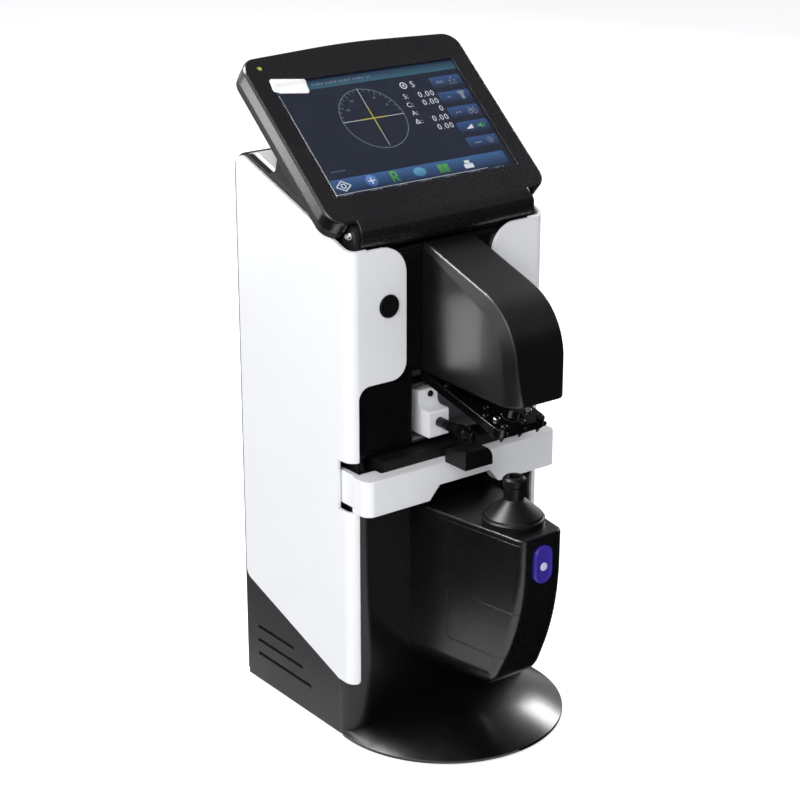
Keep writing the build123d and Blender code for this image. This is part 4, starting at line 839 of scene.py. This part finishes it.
for i in range(8):
    angle = math.radians(45 * i)
    marks.bar(68.0 + 0.8 * math.cos(angle), 24.6 + 0.8 * math.sin(angle),
              68.0 + 3.0 * math.cos(angle), 24.6 + 3.0 * math.sin(angle), 0.5)
for i, x in enumerate((-67.5, -43.4, -22.6, -2.4, 18.0, 39.4, 61.0)):
    for k in range(5):
        marks.bar(x - 4.0 + 1.9 * k, 0.5, x - 4.0 + 1.9 * k, 2.1, 0.5)
        marks.bar(x - 4.0 + 1.9 * k, 0.5 + 0.8 * (k % 3), x - 2.9 + 1.9 * k, 0.5 + 0.8 * (k % 3), 0.45)
marks.make("screen_small_marks", grey_lit, 4)
wedge = Figures()
wedge.polygon([(54.0, 36.4), (60.5, 36.4), (60.5, 40.2)])
wedge.make("screen_wedge", white_lit, 4)
speaker = Figures()
speaker.polygon([(65.2, 37.2), (66.8, 37.2), (68.6, 35.8), (68.6, 40.2), (66.8, 38.8), (65.2, 38.8)])
speaker.arc(68.4, 38.0, 2.2, 0.6, -45, 45, 8)
speaker.make("screen_speaker", green_lit, 4)
diamond = Figures()
for a, b in (((-72.0, 8.4), (-66.2, 12.8)), ((-66.2, 12.8), (-60.4, 8.4)),
             ((-60.4, 8.4), (-66.2, 4.6)), ((-66.2, 4.6), (-72.0, 8.4))):
    diamond.bar(*a, *b, 0.8)
diamond.arc(-66.2, 8.6, 1.7, 0.8, steps=20)
diamond.bar(-45.9, 8.9, -40.5, 8.9, 1.0)
diamond.bar(-43.2, 6.2, -43.2, 11.6, 1.0)
diamond.patch(34.2, 42.0, 4.8, 8.6, 0.7)
diamond.patch(36.0, 40.2, 9.0, 11.4)
diamond.make("screen_white_symbols", white_lit, 5)
rounds = Figures()
rounds.disc(-43.2, 8.9, 4.6)
rounds.make("screen_round_symbol", blue_lit, 3)
ovals = Figures()
ovals.disc(-3.0, 8.9, 5.2, 0.72)
ovals.make("screen_oval_symbol", cyan_lit, 3)
greens = Figures()
greens.patch(-27.0, -25.2, 4.6, 13.0)
greens.arc(-24.2, 10.6, 2.2, 1.7, -80, 90, 14)
greens.bar(-26.2, 12.7, -24.1, 12.7, 1.7)
greens.bar(-26.0, 8.4, -24.0, 8.4, 1.6)
greens.bar(-24.2, 8.4, -21.4, 4.8, 1.8)
greens.patch(12.6, 16.6, 5.0, 12.0, 0.5)
greens.patch(17.2, 21.4, 5.0, 12.0, 0.5)
greens.make("screen_green_symbols", green_lit, 3)

# Touch glass
# A sheet of float glass over the picture, held under the lip of the bezel. Its edges are
# ground, with a small chamfer round the face.

glass_low, glass_high = -1.9, -1.0
under_lip = 2.8
chamfer = 0.15
glass_points = []
for level, shrink in ((glass_low, 0.0), (glass_high - chamfer, 0.0), (glass_high, chamfer)):
    side = screen_half + under_lip - shrink
    foot, top = -under_lip + shrink, screen_height + under_lip - shrink
    for x, up in ((-side, foot), (side, foot), (side, top), (-side, top)):
        glass_points.append(on_screen(x, up, level))
glass_faces = [(3, 2, 1, 0), (8, 9, 10, 11)] + walls(3, 4)
# Float glass, wiped by hand: a trace of haze softens the room that shows in it
touch_glass = clear_glass("float_glass_touch", "#f2f6f8", 0.03)
glass = shape("touch_glass", glass_points, glass_faces, touch_glass, "display", False)
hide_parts("display_glass")

# Blank sticker
# A bare white paper label, stuck on by hand over the corner of the screen and on to the bezel.
# It bends down the step between the two.

# Clay-coated paper: bright, nearly matt white
sticker_paper = moulded("paper_label_coated", "#fbfafa", "#f4f3f4", 0.55, 0.05, 0.3, 0.02, 0.1)
sticker_middle = (-64.2, 93.0)
sticker_size = (28.0, 11.6)
sticker_turn = math.radians(-8.5)
sticker_corner = 2.0
sticker_thickness = 0.06 * mm
sticker_points = []
columns, rows = 36, 18
for j in range(rows + 1):
    for i in range(columns + 1):
        u = i / columns - 0.5
        v = j / rows - 0.5
        # rounded corners: pull the outline in near the ends
        edge = max(0.0, abs(u) * sticker_size[0] - sticker_size[0] / 2 + sticker_corner)
        lip = max(0.0, abs(v) * sticker_size[1] - sticker_size[1] / 2 + sticker_corner)
        over = max(0.0, math.hypot(edge, lip) - sticker_corner)
        x = u * sticker_size[0] - math.copysign(min(over, edge), u)
        up = v * sticker_size[1] - math.copysign(min(over, lip), v)
        px = sticker_middle[0] + x * math.cos(sticker_turn) - up * math.sin(sticker_turn)
        pu = sticker_middle[1] + x * math.sin(sticker_turn) + up * math.cos(sticker_turn)
        inside = min(px + screen_half, screen_height - pu)
        fall = min(1.0, max(0.0, inside / 3.0))
        out = 0.08 - 1.0 * fall * fall * (3 - 2 * fall)
        sticker_points.append(on_screen(px, pu, out))
sticker = shape("blank_sticker", sticker_points, net(columns, rows), sticker_paper, "display")
thicken(sticker, sticker_thickness, 1)

# Power lamp
# A domed yellow-green acrylic lens over a light-emitting diode, pushed into a bore in the
# bezel's corner.

# Acrylic lit from behind: an even yellow-green
lamp_lit = backlit("acrylic_lamp_lit", "#c9d64a", 1.0, "#b2c23c")
lamp_seats, lamp_top = seats_of("status_led", (0, -math.sin(display_tilt), math.cos(display_tilt)))
lamp = turned("status_lamp", [(1.5, 0.0), (1.5, lamp_top - 0.35), (1.2, lamp_top - 0.12),
                              (0.7, lamp_top), (0.01, lamp_top)], lamp_seats, lamp_lit,
              "display", 24)
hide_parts("status_led")

# Receipt roll
# Thermal paper wound on a core: smooth, white, its turns showing as rings on the ends. It lies
# loose in the printer behind its door.

material, tree, where = blank("thermal_paper_roll")
low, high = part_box("paper_roll")
middle = (low + high) / 2
place = add(tree, "Mapping", {"Vector": where, "Location": -middle})
# Turns are 0.06 mm apart, too fine to show, so the rings are drawn 1.2 mm apart
turns = add(tree, "TexWave", {"Vector": place.outputs[0], "Scale": 1 / (1.2 * mm) / waves,
                              "Distortion": 0.3},
            wave_type="RINGS", rings_direction="Y")
tone = add(tree, "Mix", {0: turns.outputs["Fac"], 6: linear("#e8e6e0"),
                         7: linear("#f5f4f0")}, data_type="RGBA")
bump = add(tree, "Bump", {"Height": turns.outputs["Fac"], "Strength": 0.2, "Distance": 0.05 * mm})
close(tree, "BsdfPrincipled",
      {"Base Color": tone.outputs[2], "Roughness": 0.7, "Normal": bump.outputs[0]})
dress(material, "paper_roll")

# Inlet blades
# Three blades of rolled brass strip with chamfered tips, pressed into the floor of the mains
# inlet.

inlet_low, inlet_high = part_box("power_inlet")
inlet_middle = (inlet_low + inlet_high) / 2
# Rolled brass, left bright: yellow, a little scuffed
brass = metal("brass_bright_rolled", "#d9b96a", "#c29f52", 0.22, 0.06, 0.6, 0.01)


def blade(x, z):
    """One blade with chamfered edges, a hair larger than the moulded pin it covers."""
    half_x, half_z = 1.12 * mm, 2.12 * mm
    back, front = inlet_high.y - 17.0 * mm, inlet_high.y - 6.9 * mm
    tip_length, tip_trim = 0.8 * mm, 0.5 * mm
    points = []
    for y, trim in ((back, 0.0), (front - tip_length, 0.0), (front, tip_trim)):
        for sx, sz in ((-1, -1), (1, -1), (1, 1), (-1, 1)):
            points.append((inlet_middle.x + x * mm + sx * (half_x - trim), y,
                           inlet_middle.z + z * mm + sz * (half_z - trim)))
    return points, [(0, 1, 2, 3), (11, 10, 9, 8)] + walls(3, 4, flipped=True)


blade_points, blade_faces = [], []
for x, z in ((-7.0, -2.5), (0.0, 2.5), (7.0, -2.5)):
    more_points, more_faces = blade(x, z)
    start = len(blade_points)
    blade_points += more_points
    blade_faces += [tuple(start + i for i in face) for face in more_faces]
shape("inlet_blades", blade_points, blade_faces, brass, "body", False)

# Rocker marks
# A plain line above and a plain ring below, pad-printed on the power switch's rocker. The ink
# stands just proud of the two sloping halves of the key.

# White ink: even, a little matt
mark_ink = moulded("white_ink_printed", "#e9e9e6", "#dededa", 0.55, 0.05, 0.3, 0.01, 0.05, 0.3)
rocker_low, rocker_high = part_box("power_rocker")
# The key's face in millimetres: its heights below and above the middle, how far the middle lies
# behind the top edge and the foot behind the middle, and the ink's stand-off
rocker_below = 7.6
rocker_above = 7.4
rocker_hollow = 1.0
rocker_foot = 1.2
ink_lift = 0.03
ink_thickness = 0.04 * mm


def on_rocker(x, rise):
    """A point just proud of the key's outer face, from its middle and up."""
    slope = rocker_hollow / rocker_above if rise > 0 else rocker_foot / rocker_below
    out = slope * rise - rocker_hollow + ink_lift
    return Vector(((rocker_low.x + rocker_high.x) / 2 + x * mm, rocker_high.y + out * mm,
                   rocker_low.z + (rocker_below + rise) * mm))


mark_points = [on_rocker(x, rise) for x, rise in ((-0.3, 5.2), (0.3, 5.2), (0.3, 2.2), (-0.3, 2.2))]
mark_faces = [(0, 1, 2, 3)]
ring_steps = 32
ring_middle = -3.8
for i in range(ring_steps):
    angle = 2 * math.pi * i / ring_steps
    for radius in (1.3, 1.8):
        mark_points.append(on_rocker(radius * math.cos(angle), ring_middle + radius * math.sin(angle)))
    a, b = 4 + 2 * i, 4 + 2 * ((i + 1) % ring_steps)
    mark_faces.append((a, b, b + 1, a + 1))
marks = shape("rocker_marks", mark_points, mark_faces, mark_ink, "power_rocker",
              False)
thicken(marks, ink_thickness, 1)

# Floor, light and camera
# A pale painted table top and an even room with a bright horizon. A large soft light stands to
# the left, with two fills, and four more only show as highlights on the gloss.


def surrounding(name, corners, faces, material):
    """Flat sheets about the object, which aren't part of it."""
    mesh = bpy.data.meshes.new(name)
    mesh.from_pydata(corners, [], faces)
    mesh.materials.append(material)
    piece = put(name, mesh)
    piece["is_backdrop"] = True
    return piece


# Pale matt paint that shows as white to the eye and keeps the object's shadow
own_glow = 0.70
material, tree, where = blank("floor_pale_paint")
cloud = add(tree, "TexNoise", {"Vector": where, "Scale": 3.0, "Detail": 2.0})
tone = add(tree, "Mix", {0: cloud.outputs["Fac"], 6: linear("#ecedef"),
                         7: linear("#eff0f2")}, data_type="RGBA")
path = add(tree, "LightPath")
seen = add(tree, "Math", {0: path.outputs["Is Camera Ray"],
                          1: path.outputs["Is Glossy Ray"]}, operation="MAXIMUM")
through = add(tree, "Math", {0: seen.outputs[0], 1: path.outputs["Is Transmission Ray"]},
              operation="MAXIMUM")
glow = add(tree, "Math", {0: through.outputs[0], 1: own_glow}, operation="MULTIPLY")
paint = add(tree, "BsdfDiffuse", {"Color": tone.outputs[2]})
lift = add(tree, "Emission", {"Color": (1, 1, 1, 1), "Strength": glow.outputs[0]})
close(tree, "AddShader", {0: paint.outputs[0], 1: lift.outputs[0]})
reach = 12.0
surrounding("floor", [(-reach, -reach, 0), (reach, -reach, 0), (reach, reach, 0), (-reach, reach, 0)],
            [(0, 1, 2, 3)], material)
object_middle = Vector((0, 0, 0.24))


def soft_light(name, direction, distance, width, height, power, glossy=True):
    """A rectangular soft light aimed at the object's middle."""
    lamp_data = bpy.data.lights.new(name, "AREA")
    lamp_data.shape = "RECTANGLE"
    lamp_data.size = width
    lamp_data.size_y = height
    lamp_data.energy = power
    light = put(name, lamp_data)
    back = Vector(direction).normalized()
    light.location = object_middle + back * distance
    light.rotation_mode = "QUATERNION"
    light.rotation_quaternion = (-back).to_track_quat("-Z", "Y")
    light.visible_glossy = glossy
    return light


soft_light("key_light", (-0.82, -0.42, 0.62), 2.3, 1.5, 1.5, 42.0)
soft_light("side_light", (0.90, 0.30, 0.40), 2.4, 1.5, 1.5, 24.0, False)
top_light = soft_light("top_light", (0.25, 0.2, 1.0), 2.2, 1.6, 1.6, 18.0, False)
top_light.visible_transmission = False


def gleam(name, place, aim, width, height, power):
    """A soft light that only shows as a highlight."""
    direction = Vector(place) - Vector(aim)
    light = soft_light(name, direction, 1.0, width, height, power)
    light.location = place
    light.visible_diffuse = False


gleam("edge_light", (-0.78, 0.87, 1.93), (-0.02, -0.07, 0.33), 0.9, 0.9, 120.0)
gleam("cheek_light", (-0.047, -0.030, 0.292), (-0.024, -0.066, 0.304), 0.026, 0.050, 0.0050)
gleam("strip_light", (-0.50, 0.67, 0.26), (-0.092, 0.06, 0.42), 0.16, 0.16, 0.42)
gleam("foot_light", (1.23, 0.42, 0.78), (0.045, -0.08, 0.006), 0.40, 0.30, 6.5)

# Sheets of black velvet, lying and standing about the object, keep the black fronts dark. They
# only show as what the gloss mirrors, and cast no shadow
velvet = moulded("cotton_velvet_black", "#0c0c0d", "#080809", 0.95, 0.02, 0.8, 0.2, 0.1, 0.1)
lying = 0.002
corners, sheets = [], []
for x0, y0, x1, y1 in ((0.0, -2.2, 2.4, 0.35), (-2.2, -2.2, -0.2, 0.05), (-1.3, 0.05, -0.12, 1.3)):
    sheets.append(tuple(range(len(corners), len(corners) + 4)))
    corners += [(x0, y0, lying), (x1, y0, lying), (x1, y1, lying), (x0, y1, lying)]
for x0, y0, x1, y1, top in ((0.22, -1.90, 2.4, -0.12, 0.95), (-1.40, -1.30, -1.40, 0.35, 0.50)):
    sheets.append(tuple(range(len(corners), len(corners) + 4)))
    corners += [(x0, y0, 0.0), (x1, y1, 0.0), (x1, y1, top), (x0, y0, top)]
card = surrounding("velvet_sheet", corners, sheets, velvet)
card.visible_camera = False
card.visible_diffuse = False
card.visible_shadow = False

world = bpy.data.worlds.new("even_room")
bpy.context.scene.world = world
world.use_nodes = True
sky = world.node_tree
sky.nodes.clear()
heading = add(sky, "TexCoord")
split = add(sky, "SeparateXYZ", {0: heading.outputs["Generated"]})
room = add(sky, "ValToRGB", {0: split.outputs[2]})
room.color_ramp.elements[0].position = 0.06
room.color_ramp.elements[0].color = (0.92, 0.93, 0.95, 1)
room.color_ramp.elements[1].position = 0.46
room.color_ramp.elements[1].color = (0.13, 0.13, 0.14, 1)
light_of_room = add(sky, "Background", {"Color": room.outputs[0], "Strength": 1.0})
add(sky, "OutputWorld", {"Surface": light_of_room.outputs[0]})

camera_data = bpy.data.cameras.new("camera")
camera_data.lens = 91.85
camera_data.sensor_width = 36.0
camera_data.clip_end = 60.0
camera = put("camera", camera_data)
camera.location = (-0.8228067, -1.044004, 0.720)
azimuth, elevation = math.radians(-37.2), math.radians(20.1)
backward = Vector((math.sin(azimuth) * math.cos(elevation), -math.cos(azimuth) * math.cos(elevation),
                   math.sin(elevation)))
camera.rotation_mode = "QUATERNION"
camera.rotation_quaternion = (-backward).to_track_quat("-Z", "Y")
bpy.context.scene.camera = camera
bpy.context.scene.view_settings.view_transform = "Standard"

low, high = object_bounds()
